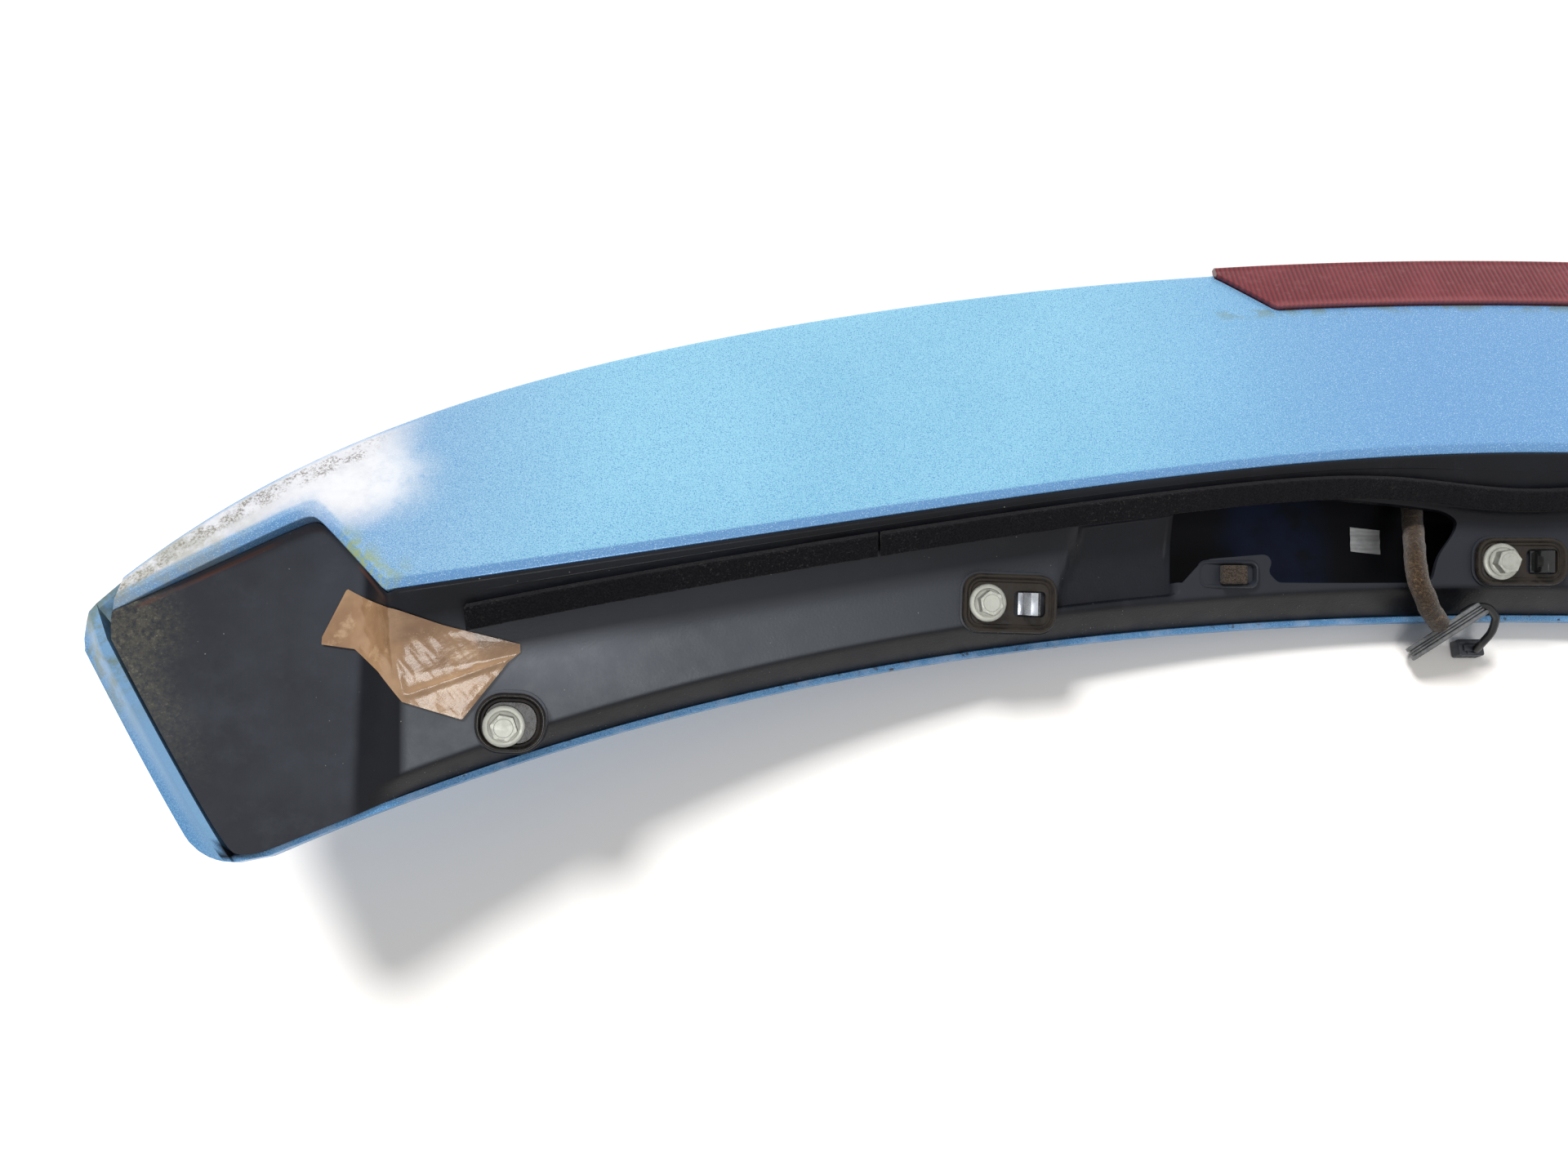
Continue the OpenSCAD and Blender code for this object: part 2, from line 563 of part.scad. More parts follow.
lens_end_w = 3;
lens_foot = 4;
function lens_width(x) = abs(x) < lens_inner_half ? lens_w
    : mix(lens_end_w, lens_w, (lens_half - abs(x)) / (lens_half - lens_inner_half));
lens_half_xs = concat([for (k = [0, 0.2, 0.4, 0.6, 0.8, 1]) k * lens_inner_half],
                      [lens_inner_half + 0.32 * lens_taper, lens_inner_half + 0.64 * lens_taper,
                       lens_half - lens_wall]);
module lens_cutter() {
    xs = both_sides(concat(lens_half_xs, [lens_half]));
    linear_extrude(60) polygon(concat(
        [for (x = xs) [x * (1 + lens_gap / lens_half), te_y(x) - lens_width(x) - lens_gap]],
        [[lens_half + lens_gap, te_y(lens_half) + 20], [-lens_half - lens_gap, te_y(lens_half) + 20]]));
}
module under_skin() {
    color("lightskyblue") difference() {
        loft([for (x = base_xs) under_ring(x)]);
        lens_cutter();
    }
}

// Foam strips on the ledge, rectangles in section set square to the slope
ledge_dir = [1, ledge_slope] / norm([1, ledge_slope]);
ledge_nrm = [-ledge_dir[1], ledge_dir[0]];
foam_w = 10;
function foam_ring(x) =
    let (p = [base_back(x) - rim_width(x) - ledge_w + 0.1,
              ridge_z - ledge_slope * (rim_width(x) + ledge_w - 0.1) + crown(x)],
         a = p + joint_gap * ledge_nrm, b = a + foam_w * ledge_dir)
    [for (q = [a, b, b + foam_h * ledge_nrm, a + foam_h * ledge_nrm]) [x, q[0], q[1]]];
module foam_strip(from, to) {
    xs = concat([from], [for (x = base_xs) if (x > from + 1 && x < to - 1) x], [to]);
    color([0.12, 0.1, 0.09]) loft([for (x = xs) foam_ring(x)]);
}
module foam_strip_left() foam_strip(-foam_end, -foam_cut - foam_cut_gap / 2);
module foam_strip_centre() foam_strip(-foam_cut + foam_cut_gap / 2, foam_cut - foam_cut_gap / 2);
module foam_strip_right() foam_strip(foam_cut + foam_cut_gap / 2, foam_end);

// Gaskets: a flat rubber seal with a raised rim, a hole for the insert and a slot for the clip
seal_gap = 0.2;
clip_size = [10.5, 10, 8];
slot_size = [clip_size[0] + 4, clip_size[1] + 1.5];
module gasket(size, r, shift, slot_x) {
    translate([0, 0, seat_lift + seal_gap]) difference() {
        translate([shift[0], shift[1], 0]) rounded(size, r, gasket_h);
        translate([shift[0], shift[1], gasket_h - gasket_rim_h])
            rounded(size - 2 * [gasket_rim_w, gasket_rim_w], r - gasket_rim_w, 2 * gasket_rim_h);
        translate([0, 0, -1]) cylinder(h = 9, d = insert_d + 1);
        if (slot_x != 0) translate([slot_x, 0, -1]) rounded(slot_size, 2, 9);
    }
}
rubber = [0.1, 0.09, 0.08];
clip_from_bolt = 19.5;
module gasket_left_outer() color(rubber) on_pad(-bolt_outer_x, bolt_outer_in)
    gasket(gasket_outer, outer_gasket_r, outer_seat_shift, 0);
module gasket_right_outer() color(rubber) on_pad(bolt_outer_x, bolt_outer_in)
    gasket(gasket_outer, outer_gasket_r, [-outer_seat_shift[0], outer_seat_shift[1]], 0);
module gasket_left_inner() color(rubber) on_pad(-bolt_inner_x, bolt_inner_in)
    gasket(gasket_inner, gasket_r, [inner_gasket_shift, 0], clip_from_bolt);
module gasket_right_inner() color(rubber) on_pad(bolt_inner_x, bolt_inner_in)
    gasket(gasket_inner, gasket_r, [-inner_gasket_shift, 0], -clip_from_bolt);
module gasket_centre() color(rubber) on_pad(-bolt_centre_x, bolt_centre_in)
    gasket(gasket_centre_size, gasket_r, [centre_gasket_shift, 0], clip_from_bolt);

// Inserts, washers and bolts share one stack height
insert_top = seat_lift + seal_gap + gasket_h - gasket_rim_h;
washer_top = insert_top + washer_h;
module threaded_inserts() {
    color("goldenrod") for (p = seats) on_pad(p[0], p[1])
        difference() {
            translate([0, 0, insert_top - insert_len]) cylinder(h = insert_len, d = insert_d);
            translate([0, 0, insert_top - insert_len - 1]) cylinder(h = insert_len + 2, d = bolt_d);
        }
}
module bolt_washers() {
    color("silver") for (p = seats) on_pad(p[0], p[1])
        translate([0, 0, insert_top]) difference() {
            cylinder(h = washer_h, d = washer_d);
            translate([0, 0, -1]) cylinder(h = washer_h + 2, d = bolt_d + 2 * washer_play);
        }
}
hex_turn = [20, 12, 40, 25, 5];
module mounting_bolts() {
    color("gainsboro") for (i = [0:len(seats) - 1]) on_pad(seats[i][0], seats[i][1])
        translate([0, 0, washer_top]) {
            cylinder(h = flange_h, d = flange_d);
            rotate([0, 0, hex_turn[i]])
                cylinder(h = flange_h + hex_h, d = bolt_af / cos(30), $fn = 6);
            translate([0, 0, -bolt_len]) cylinder(h = bolt_len + 1, d = bolt_d);
        }
}

// Spring clips: one bent strip each, with two legs, a bridge and turned-out lips
clip_t = 1;
clip_base = seat_lift + joint_gap;
module spring_clip() {
    w = clip_size[0];
    h = clip_size[2];
    translate([0, clip_size[1] / 2, clip_base]) rotate([90, 0, 0]) linear_extrude(clip_size[1])
        polygon([[-w / 2, 0], [-w / 2, clip_t], [-w / 2 + 2, clip_t], [-w / 2 + 1.2, h * 0.5],
                 [-1.6, h], [1.6, h], [w / 2 - 1.2, h * 0.5], [w / 2 - 2, clip_t], [w / 2, clip_t],
                 [w / 2, 0], [w / 2 - 3, 0], [w / 2 - 1.2 - clip_t, h * 0.5],
                 [1.1, h - clip_t], [-1.1, h - clip_t], [-w / 2 + 1.2 + clip_t, h * 0.5],
                 [-w / 2 + 3, 0]]);
}
module locating_clip_left() color("silver") on_pad(-bolt_inner_x, bolt_inner_in)
    translate([clip_from_bolt, 0, 0]) spring_clip();
module locating_clip_right() color("silver") on_pad(bolt_inner_x, bolt_inner_in)
    translate([-clip_from_bolt, 0, 0]) spring_clip();
module locating_clip_centre() color([0.05, 0.05, 0.05]) on_pad(-bolt_centre_x, bolt_centre_in)
    translate([clip_from_bolt, 0, 0]) spring_clip();

// Foam plug on the tongue
plug_at = [1.5, -0.2, 2 * joint_gap];
module pocket_plug() {
    color([0.2, 0.17, 0.15]) on_tongue() translate(plug_at) rounded([plug, plug - 2.5], 1, plug_h);
}

// Brake lamp: the lens covers the trailing edge and its housing lies inside the skins
function lens_ring(x, open) =
    let (w = lens_width(x), yt = te_y(x), yi = yt - w, c = crown(x), zi = band_z(x, yi) + lens_proud,
         zt = under_te_z + lens_proud, zr = rear_rim_z + 2 * joint_gap,
         zl = max(zr, zi - lens_proud - lens_foot), ye = yt + lens_proud,
         t = min(lens_wall, 0.3 * w), tilt = 0.1)
    [for (p = [[yi, zi - 0.8], [yi + 0.8, zi], [yt - 0.5, zt + tilt], [ye - 0.9, zt - 0.3],
               [ye, zt - 1.5], [ye, zr], [ye - t, zr + tilt],
               [ye - t, open ? zt - 2.2 : zr + 2.5 * tilt],
               [yt - min(1.5, 0.4 * w), open ? zt - lens_wall : zr + 4 * tilt],
               [yi + t, open ? zi - lens_wall : zl + 3 * tilt], [yi + t, zl + 1.5 * tilt],
               [yi, zl + 0.5 * tilt]]) [x, p[0], p[1] + c]];
lens_step = 0.2;
module brake_lamp_lens() {
    open_xs = both_sides(lens_half_xs);
    m = len(open_xs) - 1;
    color([0.6, 0.05, 0.08]) loft(concat(
        [lens_ring(-lens_half, false), lens_ring(open_xs[0] - lens_step, false)],
        [for (x = open_xs) lens_ring(x, true)],
        [lens_ring(open_xs[m] + lens_step, false), lens_ring(lens_half, false)]));
}
lamp_end_gap = 4;
lamp_xs = both_sides([for (k = [0, 0.2, 0.4, 0.6, 0.8, 1]) k * (lens_inner_half - lamp_end_gap)]);
flange_reach = 6;
flange_drop = skin_wall + 2.1;
board_in = 2;
board_w = 10;
// Line of the housing's inner face, from its front flange to the trailing edge
function housing_z(x, d) = let (yt = te_y(x), z0 = band_z(x, yt - lens_w) - flange_drop)
    d > lens_w ? band_z(x, yt - d) - flange_drop
    : d > 13 ? mix(18.5, z0, (d - 13) / (lens_w - 13)) : mix(rear_rim_z + 1.8, 18.5, d / 13);
function housing_ring(x) = let (yt = te_y(x), c = crown(x), ds = [lens_w + flange_reach, lens_w, 13, 0.4])
    concat([for (d = ds) [x, yt - d, housing_z(x, d) + c]],
           [for (i = [3:-1:0]) [x, yt - ds[i], housing_z(x, ds[i]) + c - (i == 3 ? 1.4 : housing_h)]]);
socket_d = 12;
socket_x = -44;
socket_len = 8;
module brake_lamp_housing() {
    y = te_y(socket_x) - lens_w - flange_reach;
    color([0.2, 0.2, 0.22]) union() {
        loft([for (x = lamp_xs) housing_ring(x)]);
        translate([socket_x, y + 3, housing_z(socket_x, lens_w + flange_reach) + crown(socket_x) - 7])
            rotate([90, 0, 0]) cylinder(h = socket_len + 3, d = socket_d);
    }
}
function board_line(x, d, h) = [x, te_y(x) - d, housing_z(x, d) + h + crown(x)];
module lamp_circuit_board() {
    color("seagreen") loft([for (x = [for (q = lamp_xs) 0.95 * q])
        [board_line(x, lens_w - board_in, joint_gap), board_line(x, lens_w - board_in - board_w, joint_gap),
         board_line(x, lens_w - board_in - board_w, joint_gap + board_h),
         board_line(x, lens_w - board_in, joint_gap + board_h)]]);
}
led_h = 1.6;
module lamp_diodes() {
    pitch = 2 * (lens_inner_half - 14) / (led_count - 1);
    d = lens_w - board_in - board_w / 2;
    color("ivory") for (i = [0:led_count - 1]) {
        x = -(lens_inner_half - 14) + i * pitch;
        p = board_line(x, d, joint_gap + board_h + 0.1);
        slope = atan((housing_z(x, d + 1) - housing_z(x, d)));
        translate(p) rotate([-slope, 0, 0]) translate([-led_size / 2, -led_size / 2, 0])
            cube([led_size, led_size, led_h]);
    }
}
seal_h = 1.6;
module lamp_seal() {
    color([0.08, 0.08, 0.08]) loft([for (x = lamp_xs) let (c = crown(x), yt = te_y(x))
        [for (q = [[lens_w + flange_reach, 0.1], [lens_w + 0.8, 0.1], [lens_w + 0.8, 0.1 + seal_h],
                   [lens_w + flange_reach, 0.1 + seal_h]])
            [x, yt - q[0], housing_z(x, q[0]) + q[1] + c]]]);
}

// Harness: a taped sleeve, an oval grommet, a thin lead and a small connector. Depths here are
// counted from the leading edge
sleeve_d = 9;
sleeve_route = [[-44, 140.2, 22], [-44, 120.2, 21], [-44, 96.2, 21], [-44, 72.2, 21],
                [-45, 53.2, 22], [-48, 43.2, 26], [-52, 33.2, 32], [-55.5, 23.2, 37],
                [-56.5, 13.2, 38.5], [-53.5, 5.8, 36.5], [-48.5, 0.2, 31], [-42, -3.2, 24.5],
                [-36, -5.2, 18]];
lead_d = 3.6;
lead_route = [[-30.5, 0.2, 24.6], [-25.8, 2.9, 27.2], [-19.7, 2.6, 27], [-15.2, -0.4, 24.2],
              [-14.1, -2.5, 22.2], [-14.1, -6.9, 18], [-16, -10.7, 13.6], [-16.5, -13.2, 8]];
function catmull(a, b, c, d, u) = 0.5 * (2 * b + (c - a) * u + (2 * a - 5 * b + 4 * c - d) * u * u
    + (3 * b - a - 3 * c + d) * u * u * u);
function spline(p, steps) = let (n = len(p)) concat([for (i = [0:n - 2], k = [0:steps - 1])
    catmull(p[max(i - 1, 0)], p[i], p[i + 1], p[min(i + 2, n - 1)], k / steps)], [p[n - 1]]);
function placed(route) = [for (p = spline(route, 3)) p + [0, lead_y, 0]];
module tube(path, d, sides) {
    n = len(path);
    up = [0.3, 0.2, 1];
    loft([for (i = [0:n - 1])
        let (t = path[min(i + 1, n - 1)] - path[max(i - 1, 0)], f = t / norm(t),
             a0 = cross(f, up), a = a0 / norm(a0), b = cross(a, f))
        [for (k = [0:sides - 1]) path[i] + d / 2 * (cos(360 * k / sides) * a + sin(360 * k / sides) * b)]]);
}
grommet_c = [-35, lead_y - 6.6, 17.5];
grommet_long = 39;
grommet_deep = 19;
grommet_t = 6.5;
// The grommet leans over the lip: its long axis climbs to the right and its thin axis lies level
grommet_axis = [0.617, 0.452, 0.643];
grommet_view = [0.5, 0.194, -0.843];
module grommet_frame() {
    x = grommet_axis / norm(grommet_axis);
    z0 = cross(x, grommet_view);
    z = z0 / norm(z0);
    y = cross(z, x);
    multmatrix([[x[0], y[0], z[0], grommet_c[0]], [x[1], y[1], z[1], grommet_c[1]],
                [x[2], y[2], z[2], grommet_c[2]], [0, 0, 0, 1]]) children();
}
module harness_sleeve() {
    color([0.28, 0.2, 0.14]) tube(placed(sleeve_route), sleeve_d, 10);
}
module harness_lead() {
    color([0.04, 0.04, 0.05]) tube(placed(lead_route), lead_d, 8);
}
module harness_grommet() {
    flange = grommet_t * 0.3;
    color([0.3, 0.3, 0.31]) difference() {
        grommet_frame() translate([0, 0, -grommet_t / 2]) union() {
            oval([grommet_long, grommet_deep], flange);
            translate([0, 0, flange - 0.01]) oval([grommet_long - 4, grommet_deep - 4], grommet_t - flange);
            translate([0, 0, grommet_t - flange])
                oval([grommet_long - 2, grommet_deep - 2], flange);
        }
        harness_sleeve();
        harness_lead();
    }
}
connector = [12, 8, 7];
connector_at = [-24, lead_y - 15.75, 0.2];
module harness_connector() {
    color([0.45, 0.52, 0.6]) difference() {
        translate(connector_at) union() {
            cube(connector);
            translate([2, 2, connector[2] - 0.01]) cube([connector[0] - 4, 3, 1.2]);
        }
        harness_lead();
    }
}

// Bare label on the inner side of the outer skin
label_size = [14.5, 12.5];
label_at = [-60, lead_y + 42];
module cable_label() {
    s = (label_at[1] - le_y(label_at[0])) / chord;
    color("white") translate([label_at[0], label_at[1], skin_low(s) + skin_wall + crown(label_at[0]) + 0.6])
        rotate([0, 2, -6]) translate([-label_size[0] / 2, -label_size[1] / 2, 0])
        cube([label_size[0], label_size[1], 0.4]);
}

// Strip of parcel tape stuck from the end panel over the step to the pad; its edges are counted
// from the left end of the middle body and from the leading edge
tape_back_edge = [[-37, -25.6], [-29, -5.5], [-5.6, -17.8], [13.5, -22.6], [41.5, -27.5]];
tape_front_edge = [[-37, -28.6], [-24.6, -29.9], [-12.6, -40], [-2, -52.2], [19.6, -57.9],
                   [36.7, -34.7], [41.5, -30.5]];
tape_gap = 0.7;
tape_t = 0.7;
tape_steps = [-37, -33, -29, -27, -24.6, -22, -17, -12.6, -9, -5.6, -2, 5, 9, 13.5, 19.6, 28, 36.7, 41.5];
// A thin sheet over rows of points, with the same triangles above and below
module sheet(rows, t) {
    n = len(rows[0]);
    m = len(rows);
    c = n * m;
    under = [for (r = rows) each r];
    cells = [for (k = [0:m - 2], i = [0:n - 2]) let (a = k * n + i)
        each [[a, a + 1, a + n], [a + 1, a + n + 1, a + n]]];
    rim = concat([for (i = [0:n - 2]) i], [for (k = [0:m - 2]) k * n + n - 1],
                 [for (i = [n - 1:-1:1]) (m - 1) * n + i], [for (k = [m - 1:-1:1]) k * n]);
    sides = [for (j = [0:len(rim) - 1]) let (p = rim[j], q = rim[(j + 1) % len(rim)])
        each [[p, q, q + c], [p, q + c, p + c]]];
    polyhedron(points = concat(under, [for (p = under) p + [0, 0, t]]),
               faces = concat([for (f = cells) [f[2], f[1], f[0]]], [for (f = cells) f + [c, c, c]], sides),
               convexity = 8);
}
module tape_patch() {
    color("peru") sheet([for (d = tape_steps)
        let (x = d - body_half, a = lookup(d, tape_front_edge), b = lookup(d, tape_back_edge))
        [for (f = [0:0.2:1]) let (y = lead_y + mix(a, b, f)) [x, y, base_top(x, y) + tape_gap]]], tape_t);
}

outer_skin();
under_skin();
base_panel();
foam_strip_left();
foam_strip_centre();
foam_strip_right();
gasket_left_outer();
gasket_left_inner();
gasket_centre();
gasket_right_inner();
gasket_right_outer();
mounting_bolts();
bolt_washers();
threaded_inserts();
locating_clip_left();
locating_clip_centre();
locating_clip_right();
pocket_plug();
brake_lamp_lens();
brake_lamp_housing();
lamp_circuit_board();
lamp_diodes();
lamp_seal();
harness_sleeve();
harness_grommet();
harness_lead();
harness_connector();
cable_label();
tape_patch();
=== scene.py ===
"""Looks of a rear roof spoiler that lies on its painted skin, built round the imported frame."""
import math

import bmesh
import bpy
import numpy as np
from mathutils import Matrix, Vector, noise


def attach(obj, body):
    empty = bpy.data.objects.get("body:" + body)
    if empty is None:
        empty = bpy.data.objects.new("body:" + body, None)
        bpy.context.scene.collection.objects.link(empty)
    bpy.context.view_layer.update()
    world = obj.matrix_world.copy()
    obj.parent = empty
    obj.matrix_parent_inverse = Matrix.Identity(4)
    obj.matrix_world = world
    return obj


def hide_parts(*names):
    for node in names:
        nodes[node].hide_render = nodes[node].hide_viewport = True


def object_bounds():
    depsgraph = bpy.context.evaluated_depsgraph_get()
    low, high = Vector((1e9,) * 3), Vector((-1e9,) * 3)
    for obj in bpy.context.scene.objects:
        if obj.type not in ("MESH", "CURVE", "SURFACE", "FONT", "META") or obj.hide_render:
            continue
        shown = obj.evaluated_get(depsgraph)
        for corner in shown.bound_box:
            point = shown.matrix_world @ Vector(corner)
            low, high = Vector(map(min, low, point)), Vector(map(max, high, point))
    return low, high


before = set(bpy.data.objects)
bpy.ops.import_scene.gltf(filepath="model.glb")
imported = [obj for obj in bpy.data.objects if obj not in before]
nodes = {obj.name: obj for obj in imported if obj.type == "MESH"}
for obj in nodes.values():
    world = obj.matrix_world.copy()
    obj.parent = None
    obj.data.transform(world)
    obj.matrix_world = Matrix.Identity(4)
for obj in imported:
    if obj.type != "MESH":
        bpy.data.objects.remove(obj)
cad_low, cad_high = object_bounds()
MM = 0.001
scene = bpy.context.scene
scene.view_settings.view_transform = "Standard"

# ---------------------------------------------------------------- camera
CAMERA_PLACE, CAMERA_TILT = (-0.3447, -0.16168, 0.5395), 15
CAMERA_SENSOR, CAMERA_LENS = 36, 26.25
camera_data = bpy.data.cameras.new("camera")
camera_data.sensor_width = CAMERA_SENSOR
camera_data.lens = CAMERA_LENS
camera = bpy.data.objects.new("camera", camera_data)
camera.location = CAMERA_PLACE
camera.rotation_euler = (math.radians(CAMERA_TILT), 0, 0)
scene.collection.objects.link(camera)
scene.camera = camera


# ---------------------------------------------------------------- small helpers
def clamp01(v):
    return min(1.0, max(0.0, v))


def smooth(v):
    c = clamp01(v)
    return c * c * (3 - 2 * c)


def mix(a, b, k):
    return a + (b - a) * k


def soft_min(a, b, k):
    return (a + b - math.sqrt((a - b) ** 2 + k * k)) / 2


def soft_max(a, b, k):
    return (a + b + math.sqrt((a - b) ** 2 + k * k)) / 2


def lookup(x, table):
    if x <= table[0][0]:
        return table[0][1]
    for (x0, y0), (x1, y1) in zip(table, table[1:]):
        if x <= x1:
            return mix(y0, y1, (x - x0) / (x1 - x0))
    return table[-1][1]


def steps(low, high, step):
    count = max(1, round((high - low) / step))
    return [mix(low, high, i / count) for i in range(count + 1)]


def sign(v):
    return -1.0 if v < 0 else 1.0 if v > 0 else 0.0


# ---------------------------------------------------------------- mesh helpers
def shade(ob, angle=35):
    for face in ob.data.polygons:
        face.use_smooth = True
    ob.data.set_sharp_from_angle(angle=math.radians(angle))
    return ob


def make(name, verts, faces, angle=35):
    """A mesh object from points in mm, its normals outwards, its shading smooth up to angle."""
    mesh = bpy.data.meshes.new(name)
    mesh.from_pydata([tuple(c * MM for c in v) for v in verts], [], faces)
    bm = bmesh.new()
    bm.from_mesh(mesh)
    bmesh.ops.remove_doubles(bm, verts=bm.verts, dist=1e-7)
    bmesh.ops.recalc_face_normals(bm, faces=bm.faces)
    bm.to_mesh(mesh)
    bm.free()
    ob = bpy.data.objects.new(name, mesh)
    scene.collection.objects.link(ob)
    return shade(ob, angle)


def loft_parts(rings, first=0):
    """Vertices and faces of a closed loft whose first vertex has the number first."""
    n = len(rings[0])
    m = len(rings)
    verts = [p for r in rings for p in r]
    faces = []
    for k in range(m - 1):
        for i in range(n):
            a, b = first + k * n + i, first + k * n + (i + 1) % n
            faces.append((a, b, b + n, a + n))
    faces.append(tuple(first + i for i in range(n - 1, -1, -1)))
    faces.append(tuple(first + (m - 1) * n + i for i in range(n)))
    return verts, faces


def loft(name, rings, angle=35):
    verts, faces = loft_parts(rings)
    return make(name, verts, faces, angle)


def stacks(name, groups, angle=35):
    """One object from several lofts."""
    verts, faces = [], []
    for rings in groups:
        v, f = loft_parts(rings, len(verts))
        verts += v
        faces += f
    return make(name, verts, faces, angle)


def fillet(points, radii, parts=3):
    """Rounds each corner of a closed profile; the count of points is the same for every profile."""
    out = []
    n = len(points)
    for i, (p, r) in enumerate(zip(points, radii)):
        p = Vector(p)
        to_a = Vector(points[i - 1]) - p
        to_b = Vector(points[(i + 1) % n]) - p
        ra = min(r, 0.45 * to_a.length)
        rb = min(r, 0.45 * to_b.length)
        a = p + to_a.normalized() * ra
        b = p + to_b.normalized() * rb
        for k in range(parts + 1):
            u = k / parts
            out.append(a * (1 - u) ** 2 + p * 2 * u * (1 - u) + b * u * u)
    return out


def rounded_rect(size, r, parts=8):
    """Points of a rectangle with rounded corners, against the clock from its right lower corner."""
    r = max(0.05, min(r, size[0] / 2 - 0.01, size[1] / 2 - 0.01))
    out = []
    for cx, cy, a0 in ((1, -1, -90), (1, 1, 0), (-1, 1, 90), (-1, -1, 180)):
        for k in range(parts + 1):
            a = math.radians(a0 + 90 * k / parts)
            out.append((cx * (size[0] / 2 - r) + r * math.cos(a),
                        cy * (size[1] / 2 - r) + r * math.sin(a)))
    return out


def offset_rings(size, r, profile, shift=(0, 0), matrix=None, parts=8):
    """Rings of a rounded rectangle: each is d mm further in, at the height z, for (d, z) in profile."""
    matrix = matrix or Matrix.Identity(4)
    return [
        [matrix @ Vector((x + shift[0], y + shift[1], z))
         for x, y in rounded_rect((size[0] - 2 * d, size[1] - 2 * d), r - d, parts)]
        for d, z in profile
    ]


def around(count):
    """Equal angles round a circle."""
    return [2 * math.pi * k / count for k in range(count)]


def turned_rings(profile, matrix, count=48):
    return [[matrix @ Vector((r * math.cos(a), r * math.sin(a), z)) for a in around(count)]
            for r, z in profile]


def cut(ob, cutter):
    """Takes the cutter out of the object."""
    mod = ob.modifiers.new("cut", "BOOLEAN")
    mod.operation = "DIFFERENCE"
    mod.solver = "EXACT"
    mod.object = cutter
    apply_modifiers(ob)
    bpy.data.objects.remove(cutter)
    return ob


def apply_modifiers(ob):
    graph = bpy.context.evaluated_depsgraph_get()
    graph.update()
    mesh = bpy.data.meshes.new_from_object(ob.evaluated_get(graph))
    ob.modifiers.clear()
    ob.data = mesh


def join(name, obs):
    """One object from several separate ones."""
    bm = bmesh.new()
    for o in obs:
        bm.from_mesh(o.data)
    mesh = bpy.data.meshes.new(name)
    bm.to_mesh(mesh)
    bm.free()
    for o in obs:
        bpy.data.objects.remove(o)
    ob = bpy.data.objects.new(name, mesh)
    scene.collection.objects.link(ob)
    return ob


def softened(name, node, width):
    """A copy of a CAD node's solid with its edges rounded by width mm."""
    mesh = nodes[node].data.copy()
    mesh.name = name
    mesh.materials.clear()
    ob = bpy.data.objects.new(name, mesh)
    scene.collection.objects.link(ob)
    bm = bmesh.new()
    bm.from_mesh(mesh)
    bmesh.ops.remove_doubles(bm, verts=bm.verts, dist=2e-6)
    bmesh.ops.dissolve_limit(bm, angle_limit=math.radians(1), verts=bm.verts, edges=bm.edges)
    bm.to_mesh(mesh)
    bm.free()
    mod = ob.modifiers.new("bevel", "BEVEL")
    mod.width = width * MM
    mod.segments = 2
    mod.limit_method = "ANGLE"
    mod.angle_limit = math.radians(30)
    mod.use_clamp_overlap = True
    apply_modifiers(ob)
    return shade(ob, 40)


def piece(ob, node, material):
    """Puts a finished piece into the frame in the place of its CAD node."""
    ob.data.materials.clear()
    ob.data.materials.append(material)
    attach(ob, "root")
    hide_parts(node)
    return ob


def weights(ob, at):
    """Stores the values that at(x, y, z) names for each vertex, given in mm, as point attributes."""
    rows = [at(*(c / MM for c in v.co)) for v in ob.data.vertices]
    for name in rows[0]:
        att = ob.data.attributes.new(name, "FLOAT", "POINT")
        att.data.foreach_set("value", np.array([row[name] for row in rows], np.float32))


